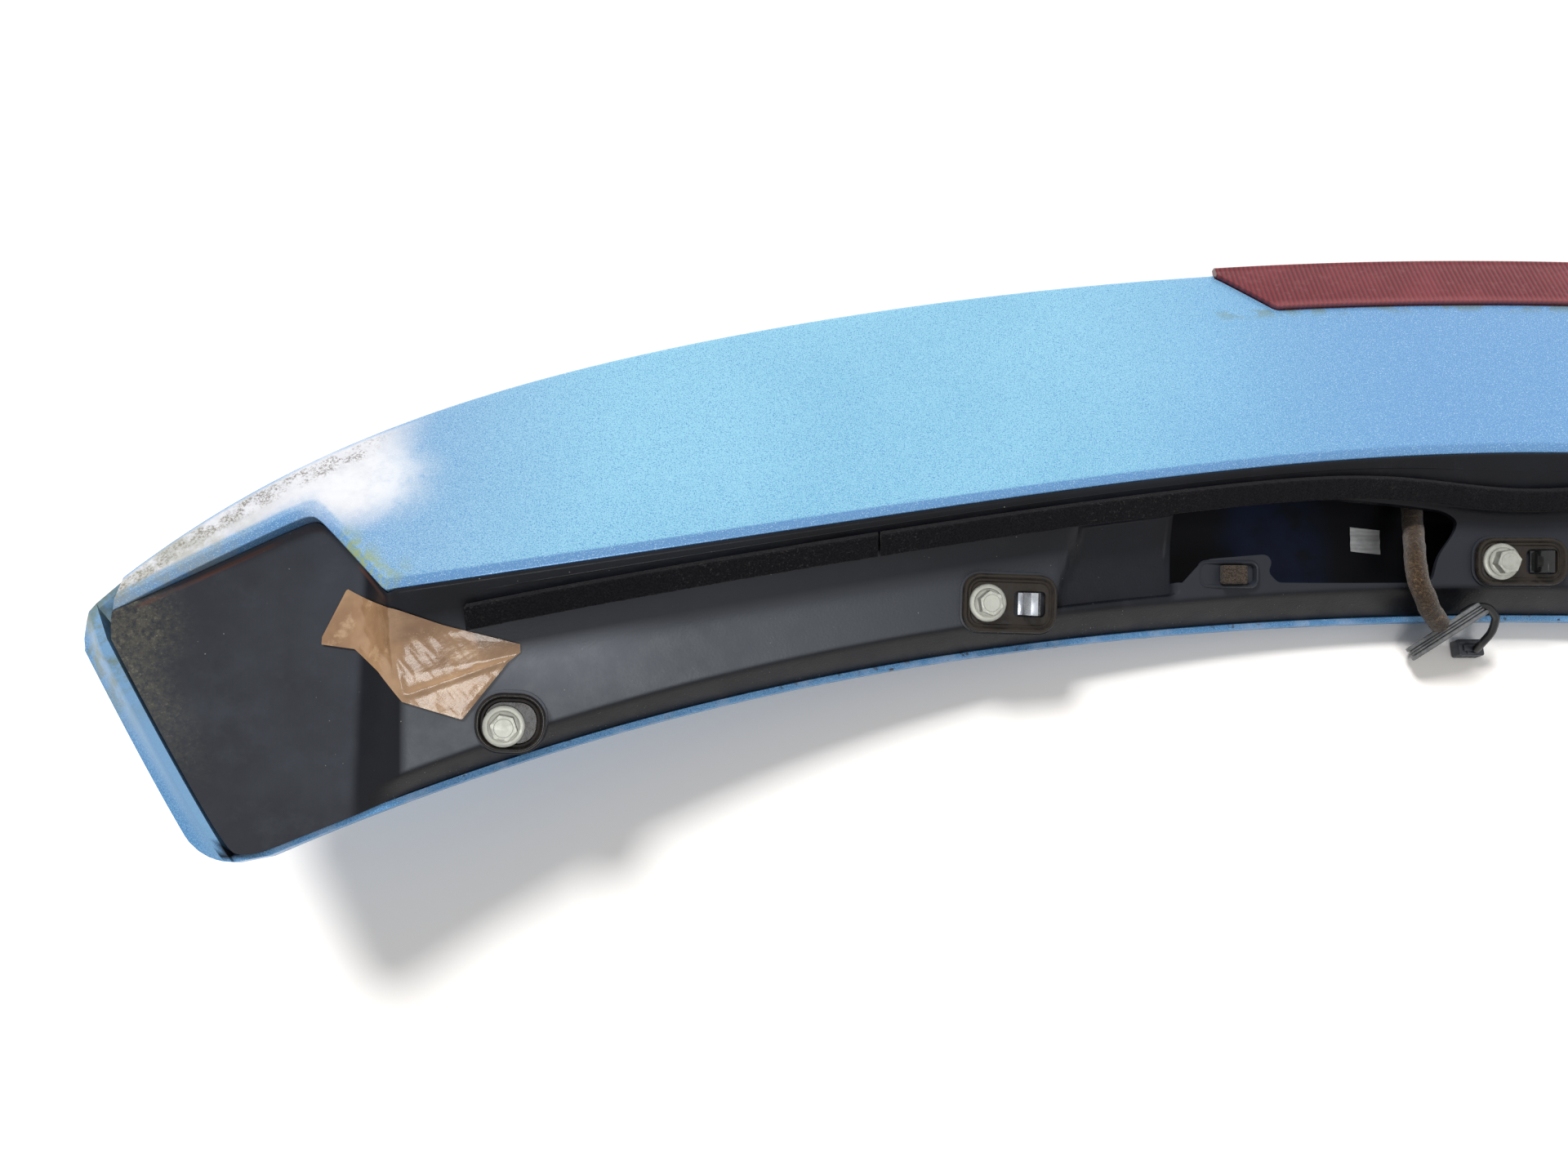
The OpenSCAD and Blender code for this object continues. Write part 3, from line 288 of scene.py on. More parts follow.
# ---------------------------------------------------------------- material helpers
class Shader:
    """A short way to write a node material."""

    def __init__(self, name):
        self.material = bpy.data.materials.new(name)
        self.material.use_nodes = True
        self.tree = self.material.node_tree
        self.tree.nodes.clear()
        self.co = self.tree.nodes.new("ShaderNodeTexCoord").outputs["Object"]

    def node(self, kind, **props):
        n = self.tree.nodes.new(kind)
        for key, value in props.items():
            setattr(n, key, value)
        return n

    def feed(self, socket, value):
        if isinstance(value, bpy.types.NodeSocket):
            self.tree.links.new(value, socket)
        elif isinstance(value, (tuple, list)) and len(value) == 3 and socket.type == "RGBA":
            socket.default_value = (*value, 1)
        else:
            socket.default_value = value

    def texture(self, kind, out, scale, props=None, **inputs):
        n = self.node("ShaderNodeTex" + kind, **(props or {}))
        self.feed(n.inputs["Vector"], self.co)
        n.inputs["Scale"].default_value = scale
        for key, value in inputs.items():
            n.inputs[key].default_value = value
        return n.outputs[out]

    def noise(self, scale, detail=3.0, rough=0.5, distort=0.0):
        return self.texture("Noise", "Fac", scale, Detail=detail, Roughness=rough, Distortion=distort)

    def cells(self, scale):
        return self.texture("Voronoi", "Distance", scale, {"feature": "F1"})

    def waves(self, scale, direction, distort=0.0):
        return self.texture("Wave", "Fac", scale, {"bands_direction": direction}, Distortion=distort)

    def calc(self, operation, a, b):
        n = self.node("ShaderNodeMath", operation=operation)
        self.feed(n.inputs[0], a)
        self.feed(n.inputs[1], b)
        return n.outputs[0]

    def times(self, *values):
        out = values[0]
        for v in values[1:]:
            out = self.calc("MULTIPLY", out, v)
        return out

    def most(self, a, b):
        return self.calc("MAXIMUM", a, b)

    def span(self, value, low, high, to_low=0.0, to_high=1.0):
        n = self.node("ShaderNodeMapRange", interpolation_type="SMOOTHSTEP")
        for i, v in enumerate((value, low, high, to_low, to_high)):
            self.feed(n.inputs[i], v)
        return n.outputs[0]

    def mix(self, factor, a, b):
        n = self.node("ShaderNodeMix", data_type="RGBA")
        self.feed(n.inputs[0], factor)
        self.feed(n.inputs[6], a)
        self.feed(n.inputs[7], b)
        return n.outputs[2]

    def attribute(self, name):
        return self.node("ShaderNodeAttribute", attribute_name=name).outputs["Fac"]

    def axis(self, index):
        n = self.node("ShaderNodeSeparateXYZ")
        self.feed(n.inputs[0], self.co)
        return n.outputs[index]

    def blob(self, x, y, inner, outer, shape=(1, 1)):
        """1 within inner mm of a point in plan and 0 beyond outer mm."""
        n = self.node("ShaderNodeMapping")
        self.feed(n.inputs["Vector"], self.co)
        n.inputs["Location"].default_value = (-x * MM * shape[0], -y * MM * shape[1], 0)
        n.inputs["Scale"].default_value = (shape[0], shape[1], 0)
        d = self.node("ShaderNodeVectorMath", operation="LENGTH")
        self.feed(d.inputs[0], n.outputs[0])
        return self.span(d.outputs["Value"], inner * MM, outer * MM, 1.0, 0.0)

    def bump(self, height, distance, strength=1.0, normal=None):
        n = self.node("ShaderNodeBump")
        self.feed(n.inputs["Height"], height)
        n.inputs["Distance"].default_value = distance * MM
        n.inputs["Strength"].default_value = strength
        if normal is not None:
            self.feed(n.inputs["Normal"], normal)
        return n.outputs[0]

    def done(self, color, rough, normal=None, **sockets):
        n = self.node("ShaderNodeBsdfPrincipled")
        self.feed(n.inputs["Base Color"], color)
        self.feed(n.inputs["Roughness"], rough)
        if normal is not None:
            self.feed(n.inputs["Normal"], normal)
        for key, value in sockets.items():
            self.feed(n.inputs[key.replace("_", " ")], value)
        out = self.node("ShaderNodeOutputMaterial")
        self.tree.links.new(n.outputs[0], out.inputs["Surface"])
        return self.material


def rgb(r, g, b):
    """A colour as it looks on the screen, from 0 to 255, in linear light."""
    return tuple(c / 255 / 12.92 if c <= 10 else ((c / 255 + 0.055) / 1.055) ** 2.4
                 for c in (r, g, b))


# ---------------------------------------------------------------- cords
LEAD_Y = -36.38
SLEEVE_D = 9.0
LEAD_D = 3.6
SLEEVE_ROUTE = [(-44, 140.2, 22), (-44, 120.2, 21), (-44, 96.2, 21), (-44, 72.2, 21),
                (-45, 53.2, 22), (-48, 43.2, 26), (-52, 33.2, 32), (-55.5, 23.2, 37),
                (-56.5, 13.2, 38.5), (-53.5, 5.8, 36.5), (-48.5, 0.2, 31), (-42, -3.2, 24.5),
                (-36, -5.2, 18)]
LEAD_ROUTE = [(-30.5, 0.2, 24.6), (-25.8, 2.9, 27.2), (-19.7, 2.6, 27), (-15.2, -0.4, 24.2),
              (-14.1, -2.5, 22.2), (-14.1, -6.9, 18), (-16, -10.7, 13.6), (-16.5, -13.2, 8)]
GROMMET_C = Vector((-35, LEAD_Y - 6.6, 17.5))
GROMMET_AXIS = Vector((0.617, 0.452, 0.643))
GROMMET_VIEW = Vector((0.5, 0.194, -0.843))
GROMMET_SIZE = (39.0, 19.0, 6.5)


def spline(points, count):
    """The route's smooth line, with count steps a stretch, as the CAD solids have it."""
    out = []
    last = len(points) - 1
    pts = [Vector(p) for p in points]
    for i in range(last):
        a, b, c, d = pts[max(i - 1, 0)], pts[i], pts[i + 1], pts[min(i + 2, last)]
        for k in range(count):
            u = k / count
            out.append(0.5 * (2 * b + (c - a) * u + (2 * a - 5 * b + 4 * c - d) * u * u
                              + (3 * b - a - 3 * c + d) * u ** 3))
    out.append(pts[-1])
    return out


def placed(route, count=3):
    return [p + Vector((0, LEAD_Y, 0)) for p in spline(route, count)]


def length_of(path):
    return sum((b - a).length for a, b in zip(path, path[1:]))


def tube_rings(path, radius, sides):
    """radius is a function of the length along the path and of the angle."""
    up = Vector((0.3, 0.2, 1))
    rings = []
    along = 0.0
    for i, p in enumerate(path):
        if i:
            along += (p - path[i - 1]).length
        f = (path[min(i + 1, len(path) - 1)] - path[max(i - 1, 0)]).normalized()
        a = f.cross(up).normalized()
        b = a.cross(f)
        rings.append([p + radius(along, t) * (math.cos(t) * a + math.sin(t) * b)
                      for t in around(sides)])
    return rings


def fleece_radius(along, angle):
    """A fleece tape wound round the wires: each turn laps the one before it."""
    turn = (along / 13.0 + angle / (2 * math.pi)) % 1.0
    lap = 0.28 * smooth(turn / 0.12) - 0.28 * turn
    fuzz = 0.16 * noise.noise(Vector((along * 1.3, math.cos(angle) * 5, math.sin(angle) * 5)))
    lump = 0.18 * noise.noise(Vector((along * 0.12, math.cos(angle), math.sin(angle) + 7)))
    return SLEEVE_D / 2 - 0.12 + lap + fuzz + lump


def fine(path, step):
    """The same line with points about step apart."""
    total = length_of(path)
    count = round(total / step)
    out = []
    i = 0
    start = 0.0
    for k in range(count + 1):
        at = total * k / count
        while i < len(path) - 2 and start + (path[i + 1] - path[i]).length < at:
            start += (path[i + 1] - path[i]).length
            i += 1
        stretch = (path[i + 1] - path[i]).length
        out.append(path[i].lerp(path[i + 1], clamp01((at - start) / stretch)))
    return out


sleeve = loft("fleece_sleeve", tube_rings(fine(placed(SLEEVE_ROUTE, 12), 0.7), fleece_radius, 40), 60)
lead = loft("thin_lead", tube_rings(fine(placed(LEAD_ROUTE, 12), 0.6), lambda s, t: LEAD_D / 2, 20), 60)

gx = GROMMET_AXIS.normalized()
gz = gx.cross(GROMMET_VIEW).normalized()
gy = gz.cross(gx)
grommet_matrix = Matrix((
    (gx.x, gy.x, gz.x, GROMMET_C.x), (gx.y, gy.y, gz.y, GROMMET_C.y),
    (gx.z, gy.z, gz.z, GROMMET_C.z), (0, 0, 0, 1)))
half = GROMMET_SIZE[2] / 2
# Distance in from the oval and height over its lower face, with two grooves round the rim
GROMMET_PROFILE = [(3.2, 0), (0.9, 0), (0.25, 0.25), (0, 0.7), (0.05, 1.4), (0.5, 1.75), (1.5, 1.85),
                   (1.6, 2.2), (0.75, 2.35), (0.7, 3.0), (1.6, 3.15), (1.6, 3.5), (0.8, 3.65),
                   (0.8, 4.2), (1.7, 4.35), (1.6, 4.7), (0.75, 4.85), (0.6, 5.7), (0.9, 6.3),
                   (1.6, 6.5), (4.5, 6.5), (5.2, 5.6)]
grommet = loft("oval_grommet", offset_rings(GROMMET_SIZE[:2], GROMMET_SIZE[1] / 2,
                                            [(d, z - half) for d, z in GROMMET_PROFILE],
                                            matrix=grommet_matrix, parts=14), 50)


CONNECTOR_AT = (-24.0, LEAD_Y - 15.75, 0.2)


def connector_box(low, high, r, edge):
    """A box beside the connector's corner, with rounded upright edges and small end roundings."""
    (x0, y0, z0), (x1, y1, z1) = (tuple(c + d for c, d in zip(CONNECTOR_AT, p)) for p in (low, high))
    e = min(edge, (z1 - z0) / 3)
    profile = [(e, z0), (0.3 * e, z0 + 0.3 * e), (0, z0 + e),
               (0, z1 - e), (0.3 * e, z1 - 0.3 * e), (e, z1)]
    middle = Matrix.Translation(((x0 + x1) / 2, (y0 + y1) / 2, 0))
    return offset_rings((x1 - x0, y1 - y0), r, profile, matrix=middle, parts=4)


# Body, latch, latch tip and collar, and four ribs on its side
CONNECTOR_BOXES = [((0, 0, 0), (12, 8, 6.9), 1.0, 0.5), ((2, 2, 6.5), (10, 5, 8.1), 0.6, 0.3),
                   ((3.5, 0.7, 6.4), (8.5, 2.4, 7.5), 0.3, 0.2),
                   ((0.6, 5.6, 6.4), (11.4, 7.3, 7.4), 0.4, 0.2)]
CONNECTOR_BOXES += [((1.2 + 2.6 * k, 0, 1.6), (2.4 + 2.6 * k, 0.5, 5.6), 0.2, 0.1)
                    for k in range(4)]
connector = stacks("small_connector", [connector_box(*b) for b in CONNECTOR_BOXES], 40)


# ---------------------------------------------------------------- materials
def plastic_base():
    s = Shader("textured_black_plastic")
    panel = s.attribute("panel")
    front = s.attribute("front")
    x, y = s.axis(0), s.axis(1)
    cloud = s.noise(14, 5, 0.6)
    fine_cloud = s.noise(70, 6, 0.65)
    grain = s.noise(900, 2, 0.5)
    body = s.mix(s.span(cloud, 0.35, 0.7), rgb(13, 14, 19), rgb(22, 24, 31))
    body = s.mix(s.times(s.span(fine_cloud, 0.52, 0.8), 0.25), body, rgb(48, 48, 54))
    charcoal = s.mix(s.span(cloud, 0.38, 0.66), rgb(46, 48, 54), rgb(57, 60, 66))
    charcoal = s.mix(s.times(s.span(fine_cloud, 0.45, 0.75), 0.5), charcoal, rgb(68, 71, 77))
    color = s.mix(s.span(panel, 0.8, 1.0), body, charcoal)
    # Painted shade in the bend where the base's body turns into the end panel
    wall = s.times(s.span(panel, 0.0, 0.12), s.span(panel, 0.98, 0.7))
    color = s.mix(s.times(wall, 0.8), color, rgb(21, 22, 27))
    # Painted reflection of the sky: the pads are painted lighter than the recesses, the left pad and its rear
    # facet lighter still, with a painted highlight in the left pad's middle
    pad = s.attribute("pad")
    color = s.mix(s.times(pad, 0.6), color, rgb(50, 53, 60))
    far = s.span(x, -0.16, -0.4)
    color = s.mix(s.times(pad, far, 0.75), color, rgb(84, 88, 94))
    color = s.mix(s.times(s.attribute("pad_back"), far, 0.6), color, rgb(66, 68, 74))
    pad_painted_highlight = s.times(pad, s.blob(-448, -59.5, 10, 70, (1, 2)), 0.6)
    color = s.mix(pad_painted_highlight, color, rgb(112, 116, 124))
    # Olive dirt and lichen in the end panel's outer corner
    edge_dirt = s.times(panel, s.span(s.attribute("side_dist"), 20 * MM, 1 * MM),
                        s.span(y, -0.13, -0.07))
    corner = s.times(panel, s.blob(-600, -63.5, 4, 30))
    dirt = s.times(s.most(edge_dirt, corner), s.span(s.noise(420, 8, 0.8), 0.36, 0.62))
    color = s.mix(s.times(dirt, 0.45), color, rgb(112, 108, 92))
    crust = s.times(dirt, s.span(s.noise(900, 4, 0.7), 0.52, 0.66), 0.4)
    color = s.mix(crust, color, rgb(144, 140, 122))
    # Dust and grit along the front edge
    grit = s.times(front, s.span(s.cells(520), 0.16, 0.05), s.span(s.noise(60, 3), 0.46, 0.62))
    color = s.mix(s.times(grit, 0.85), color, rgb(128, 120, 104))
    film = s.times(front, s.span(s.noise(45, 5, 0.7), 0.45, 0.7), 0.5)
    color = s.mix(film, color, rgb(46, 43, 42))
    # A thin rusty line under the end panel's rear edge
    back = s.attribute("back")
    line = s.times(panel, s.span(back, 1.6 * MM, 2.4 * MM), s.span(back, 4.6 * MM, 3.4 * MM),
                   s.span(s.noise(40, 3), 0.35, 0.6))
    color = s.mix(s.times(line, 0.7), color, rgb(92, 62, 54))
    specks = s.times(s.span(s.cells(210), 0.07, 0.03), s.span(s.noise(25, 2), 0.5, 0.6))
    color = s.mix(s.times(specks, 0.7), color, rgb(150, 146, 138))
    normal = s.bump(grain, 0.12, 0.55)
    normal = s.bump(s.noise(55, 4, 0.6), 0.25, 0.35, normal)
    rough = s.mix(panel, s.span(fine_cloud, 0.3, 0.75, 0.3, 0.46),
                  s.span(fine_cloud, 0.3, 0.75, 0.55, 0.75))
    return s.done(color, rough, normal, Specular_IOR_Level=0.22)


def paint_flakes(s, color, dark, light):
    """Metallic flakes: fine cells of slightly different brightness."""
    flake = s.noise(2400, 1, 0.5)
    color = s.mix(s.span(flake, 0.34, 0.5), dark, color)
    return s.mix(s.span(flake, 0.56, 0.72), color, light)


def paint_under():
    s = Shader("light_blue_metallic")
    te = s.attribute("te_dist")
    seam = s.attribute("seam_dist")
    x = s.axis(0)
    left = s.span(x, -0.40, -0.53)
    right = s.span(x, -0.24, -0.03)
    cloud = s.noise(5, 3, 0.5)
    color = s.mix(s.span(cloud, 0.35, 0.65), rgb(134, 196, 222), rgb(150, 210, 232))
    color = s.mix(left, color, rgb(134, 170, 206))
    # Painted shade: the band is painted deeper blue towards the middle, where its surface turns
    color = s.mix(right, color, rgb(112, 160, 208))
    # Painted shade on the seam's return strip, which folds down towards the base
    color = s.mix(s.span(seam, 5.2 * MM, 4.2 * MM), color, rgb(98, 146, 196))
    color = paint_flakes(s, color, rgb(96, 150, 200), rgb(168, 208, 238))
    # Peeling clear coat along the rim of the left tip: chalk, and specks of grime in it; the white bloom at
    # its corner is a painted highlight
    ragged = s.noise(60, 7, 0.7)
    zone = s.times(s.span(x, -0.492, -0.522), s.span(te, 1.5 * MM, 4 * MM),
                   s.span(seam, 6.5 * MM, 9 * MM))
    width = s.span(s.calc("SUBTRACT", te, s.calc("MULTIPLY", ragged, 0.012)), 24 * MM, 10 * MM)
    chalk = s.times(zone, s.most(width, s.blob(-520, 4.5, 12, 30)))
    chalk_color = s.mix(s.noise(300, 3), rgb(214, 214, 220), rgb(246, 244, 244))
    color = s.mix(s.times(chalk, 0.92), color, chalk_color)
    # A painted highlight at the left tip's corner, over the chalky clear coat
    bloom_painted_highlight = s.times(s.blob(-519, 3.5, 8, 40, (1, 1.4)), s.span(ragged, 0.25, 0.6))
    color = s.mix(s.times(bloom_painted_highlight, 0.85), color, rgb(240, 241, 244))
    rim_line = s.times(s.span(te, 2.5 * MM, 5 * MM), s.span(te, 16 * MM, 11 * MM),
                       s.span(x, -0.508, -0.528))
    speck = s.times(rim_line, s.span(s.noise(900, 4, 0.8), 0.47, 0.56),
                    s.span(s.noise(120, 4, 0.7), 0.4, 0.56))
    grime_color = s.mix(s.noise(300, 2), rgb(98, 88, 80), rgb(150, 142, 134))
    color = s.mix(s.times(speck, 0.85), color, grime_color)
    dirt = s.times(s.span(x, -0.545, -0.575), s.span(ragged, 0.4, 0.62), s.span(te, 1 * MM, 3 * MM))
    color = s.mix(s.times(dirt, 0.5), color, rgb(150, 150, 128))
    # Algae in the corner of the seam, and along the lens
    algae_zone = s.times(s.blob(-509, -35.5, 9, 24), s.span(seam, 17 * MM, 2 * MM))
    algae = s.times(algae_zone, s.span(s.noise(190, 6, 0.7), 0.4, 0.58))
    algae_color = s.mix(s.noise(90, 3), rgb(120, 138, 74), rgb(176, 190, 120))
    color = s.mix(s.times(algae, 0.85), color, algae_color)
    lens_edge = s.times(s.span(te, 34 * MM, 28 * MM), s.span(te, 25 * MM, 27 * MM),
                        s.span(x, -0.145, -0.12), s.span(x, 0.145, 0.12),
                        s.span(s.noise(120, 4), 0.45, 0.6))
    color = s.mix(s.times(lens_edge, 0.5), color, rgb(120, 136, 104))
    worn = s.calc("ADD", s.times(chalk, 0.5), 0.26)
    normal = s.bump(s.noise(2400, 1), 0.02, 0.25)
    normal = s.bump(s.times(chalk, ragged), 0.25, 0.5, normal)
    return s.done(color, worn, normal, Metallic=0.25, Coat_Weight=0.2, Coat_Roughness=0.15)


def paint_outer():
    s = Shader("blue_metallic")
    color = s.mix(s.span(s.noise(6, 3), 0.35, 0.65), rgb(92, 146, 192), rgb(106, 160, 204))
    color = paint_flakes(s, color, rgb(70, 124, 180), rgb(140, 186, 230))
    # The side faces are painted paler than the lip higher up, a painted light on that facet, and the inside
    # is dark
    side = s.attribute("side")
    color = s.mix(s.times(side, 0.85), color, rgb(124, 164, 200))
    inner = s.attribute("inner")
    navy = s.times(s.blob(-106, 4.5, 16, 34, (1, 0.7)), s.span(s.noise(60, 4), 0.25, 0.6))
    inside = s.mix(navy, rgb(13, 14, 20), rgb(22, 33, 60))
    lip = s.attribute("lip")
    chips = s.times(lip, s.span(s.noise(240, 5, 0.7), 0.57, 0.64), s.span(s.noise(18, 3), 0.45, 0.6))
    color = s.mix(chips, color, rgb(58, 62, 74))
    pale = s.times(lip, s.span(s.noise(90, 4), 0.5, 0.68))
    color = s.mix(s.times(pale, 0.45), color, rgb(160, 184, 214))
    dirt = s.times(s.blob(-606, -63.5, 14, 44), s.span(s.noise(130, 6, 0.7), 0.4, 0.62))
    color = s.mix(s.times(dirt, 0.7), color, rgb(112, 122, 92))
    color = s.mix(inner, color, inside)
    return s.done(color, s.calc("ADD", s.times(inner, 0.3), 0.32), s.bump(s.noise(2400, 1), 0.02, 0.25),
                  Metallic=0.25, Specular_IOR_Level=0.35, Coat_Weight=0.15, Coat_Roughness=0.12)


def foam(name, dark, light, dust):
    s = Shader(name)
    fuzz = s.noise(1400, 4, 0.7)
    color = s.mix(s.span(fuzz, 0.35, 0.65), dark, light)
    dusty = s.times(s.span(s.noise(700, 4, 0.8), 0.55, 0.7), s.span(s.noise(30, 3), 0.35, 0.65), 0.8)
    color = s.mix(dusty, color, dust)
    normal = s.bump(fuzz, 0.5, 0.9)
    return s.done(color, 0.95, normal, Specular_IOR_Level=0.08, Sheen_Weight=0.08, Sheen_Roughness=0.5)


def rubber(name, base, dirt, amount, rough):
    s = Shader(name)
    cloud = s.noise(150, 6, 0.7)
    color = s.mix(s.span(cloud, 0.35, 0.6), base, tuple(c * 1.5 for c in base))
    mud = s.times(s.span(s.noise(260, 6, 0.7), 0.5 - amount * 0.3, 0.72 - amount * 0.2), amount)
    color = s.mix(mud, color, dirt)
    return s.done(color, s.span(mud, 0.0, 1.0, rough, 0.8), s.bump(cloud, 0.2, 0.4),
                  Specular_IOR_Level=0.35)


def zinc(name, color, rough):
    s = Shader(name)
    cloud = s.noise(260, 5, 0.65)
    shade_color = s.mix(s.span(cloud, 0.35, 0.65), tuple(c * 0.82 for c in color), color)
    stain = s.times(s.span(s.noise(500, 5, 0.7), 0.58, 0.7), 0.5)
    shade_color = s.mix(stain, shade_color, rgb(150, 146, 134))
    return s.done(shade_color, s.span(cloud, 0.3, 0.7, rough, rough + 0.2),
                  s.bump(cloud, 0.15, 0.3), Metallic=0.75)


def plain(name, color, rough, scale=200, change=0.8, **sockets):
    s = Shader(name)
    cloud = s.noise(scale, 4, 0.6)
    return s.done(s.mix(s.span(cloud, 0.35, 0.65), tuple(c * change for c in color), color), rough,
                  s.bump(cloud, 0.1, 0.3), **sockets)


def fleece():
    s = Shader("fleece_tape")
    fuzz = s.noise(1100, 5, 0.75)
    color = s.mix(s.span(fuzz, 0.38, 0.62), rgb(38, 28, 20), rgb(84, 66, 48))
    color = s.mix(s.times(s.span(s.noise(420, 5, 0.8), 0.52, 0.68), 0.7), color, rgb(150, 124, 92))
    color = s.mix(s.times(s.span(s.noise(60, 3), 0.4, 0.6), 0.4), color, rgb(46, 34, 26))
    return s.done(color, 0.95, s.bump(fuzz, 0.6, 1.0), Specular_IOR_Level=0.1,
                  Sheen_Weight=0.3, Sheen_Roughness=0.5)


def lens_red():
    s = Shader("ribbed_red_lens")
    ribs = s.waves(130, "X")
    cloud = s.noise(30, 4, 0.6)
    color = s.mix(s.span(ribs, 0.1, 0.9), rgb(86, 12, 22), rgb(122, 26, 38))
    color = s.mix(s.times(s.span(cloud, 0.45, 0.7), 0.3), color, rgb(150, 60, 68))
    low = s.span(s.attribute("te_dist"), 22 * MM, 26 * MM)
    color = s.mix(s.times(low, 0.4), color, rgb(160, 84, 88))
    haze = s.times(s.span(s.noise(260, 5, 0.7), 0.5, 0.7), 0.25)
    color = s.mix(haze, color, rgb(150, 90, 92))
    return s.done(color, 0.34, s.bump(ribs, 0.35, 0.5), Specular_IOR_Level=0.5, Coat_Weight=0.3,
                  Coat_Roughness=0.2, Transmission_Weight=0.12)


def paper():
    s = Shader("bare_label_paper")
    lines = s.waves(150, "Y", 3.0)
    color = s.mix(s.span(s.noise(160, 4), 0.35, 0.65), rgb(212, 213, 214), rgb(238, 239, 240))
    return s.done(color, 0.7, s.bump(lines, 0.25, 0.5), Specular_IOR_Level=0.3)


def tape_film():
    s = Shader("brown_tape_film")
    crease = s.noise(55, 6, 0.62, 1.2)
    bubbles = s.span(s.cells(700), 0.3, 0.12)
    color = s.mix(s.span(s.noise(26, 4, 0.6), 0.35, 0.65), rgb(142, 106, 74), rgb(178, 142, 106))
    color = s.mix(s.times(s.span(s.noise(70, 5, 0.7), 0.55, 0.68), 0.6), color, rgb(200, 168, 132))
    speck = s.times(bubbles, s.span(s.noise(70, 2), 0.52, 0.6), s.span(s.axis(0), -0.505, -0.49))
    color = s.mix(s.times(speck, 0.6), color, rgb(206, 170, 130))
    return s.done(color, 0.2, s.bump(crease, 0.9, 0.6), Specular_IOR_Level=0.6, Alpha=0.93,
                  Coat_Weight=0.5, Coat_Roughness=0.08)


MAT = {
    "outer_paint": paint_outer(),
    "under_paint": paint_under(),
    "base_plastic": plastic_base(),
    "strip_foam": foam("strip_foam_fuzz", rgb(11, 11, 14), rgb(27, 26, 30), rgb(70, 66, 64)),
    "gasket_rubber": rubber("gasket_rubber_dirty", rgb(18, 16, 15), rgb(52, 45, 38), 0.7, 0.4),
    "outer_gasket": rubber("gasket_rubber_glossy", rgb(16, 14, 14), rgb(60, 48, 36), 0.25, 0.16),
    "zinc_steel": zinc("zinc_plated_steel", rgb(188, 189, 180), 0.36),
    "insert_brass": zinc("turned_brass", rgb(190, 156, 84), 0.3),
    "clip_steel": zinc("bright_spring_steel", rgb(196, 200, 208), 0.16),
    "clip_black": plain("black_clip_coat", rgb(20, 21, 22), 0.12, 300, 0.7, Specular_IOR_Level=0.6),
    "plug_foam": foam("plug_foam_cells", rgb(44, 38, 34), rgb(84, 74, 66), rgb(120, 108, 94)),
    "lens_red": lens_red(),
    "lamp_housing": plain("grey_housing_plastic", rgb(60, 61, 64), 0.5),
    "board_green": plain("green_board_lacquer", rgb(34, 92, 62), 0.3),
    "diode_resin": plain("yellow_diode_resin", rgb(222, 214, 170), 0.25),
    "seal_rubber": rubber("seal_rubber_black", rgb(22, 22, 22), rgb(70, 64, 56), 0.2, 0.6),
    "sleeve_fleece": fleece(),
    "grommet_rubber": rubber("grommet_rubber_grey", rgb(80, 82, 85), rgb(138, 137, 134), 0.45, 0.42),
    "lead_black": plain("black_lead_sheath", rgb(20, 20, 22), 0.35, 300, 0.7),
    "connector_plastic": plain("blue_grey_connector", rgb(62, 67, 76), 0.35, 240, 0.35),
    "label_paper": paper(),
    "parcel_tape": tape_film(),
}

piece(sleeve, "harness_sleeve", MAT["sleeve_fleece"])
piece(lead, "harness_lead", MAT["lead_black"])
piece(grommet, "harness_grommet", MAT["grommet_rubber"])
piece(connector, "harness_connector", MAT["connector_plastic"])

# ---------------------------------------------------------------- the part's lines, as the CAD has them
SPAN, LEAD_SPAN, CHORD, CROWN_R = 1234.0, 1126.0, 183.6, 2050.0
LE_SWEEP, LE_HOOK, TE_SWEEP, TE_HOOK = 93.2, 27.5, 154.4, 56.9
SIDE_BOW, LEAD_CORNER_R, TRAIL_CORNER_R = 0.92, 20.0, 7.0
SKIN_WALL, LIP_Z, LIP_H, REAR_RIM_Z, REAR_RIM_H, LOW_SHARE = 2.5, 12.0, 4.0, 17.0, 3.0, 0.26
CREASE_Z, CREASE_H, JOINT_GAP, UNDER_TE_Z, RIDGE_Z = 8.0, 2.4, 0.3, 19.5, 54.0
LAMP_SWELL, LAMP_SWELL_HALF, SEAM_RETURN_W, SEAM_RETURN_H = 2.4, 145.0, 4.5, 2.0
BASE_WALL, SEAM_DEPTH, SEAM_FLAT, SEAM_SLOPE, LIP_W, PANEL_LIP_W = 2.5, 69.0, 59.0, 0.255, 3.0, 1.4
BAND_W, BAND_RISE, BAND_TAPER, PAD_SLOPE, CREASE_GAP = 9.0, 16.3, 3.0, 0.268, 14.0
RIM_W, RIM_DIP, LEDGE_W, LEDGE_SLOPE, RECESS_DROP = 5.2, 8.5, 7.8, 0.8, 5.0
PAD_IN, CENTRE_PAD_HALF, BODY_HALF, PANEL_HALF = 211.0, 33.0, 493.0, 520.0
PANEL_FRONT_Z, PANEL_REAR_Z = 14.0, 24.0
OPEN_LEFT, OPEN_RIGHT, OPEN_STRIP = 168.0, 32.0, 3.0
TONGUE_LEFT, TONGUE_RIGHT, TONGUE_REACH = 163.0, 118.0, 13.0
BOLT_OUTER_X, BOLT_INNER_X, BOLT_CENTRE_X = 458.0, 255.0, 15.0
BOLT_OUTER_IN, BOLT_INNER_IN, BOLT_CENTRE_IN = 14.5, 20.5, 23.5
FOAM_END, FOAM_CUT, FOAM_CUT_GAP, FOAM_H, FOAM_W = 470.0, 304.0, 1.2, 5.0, 10.0
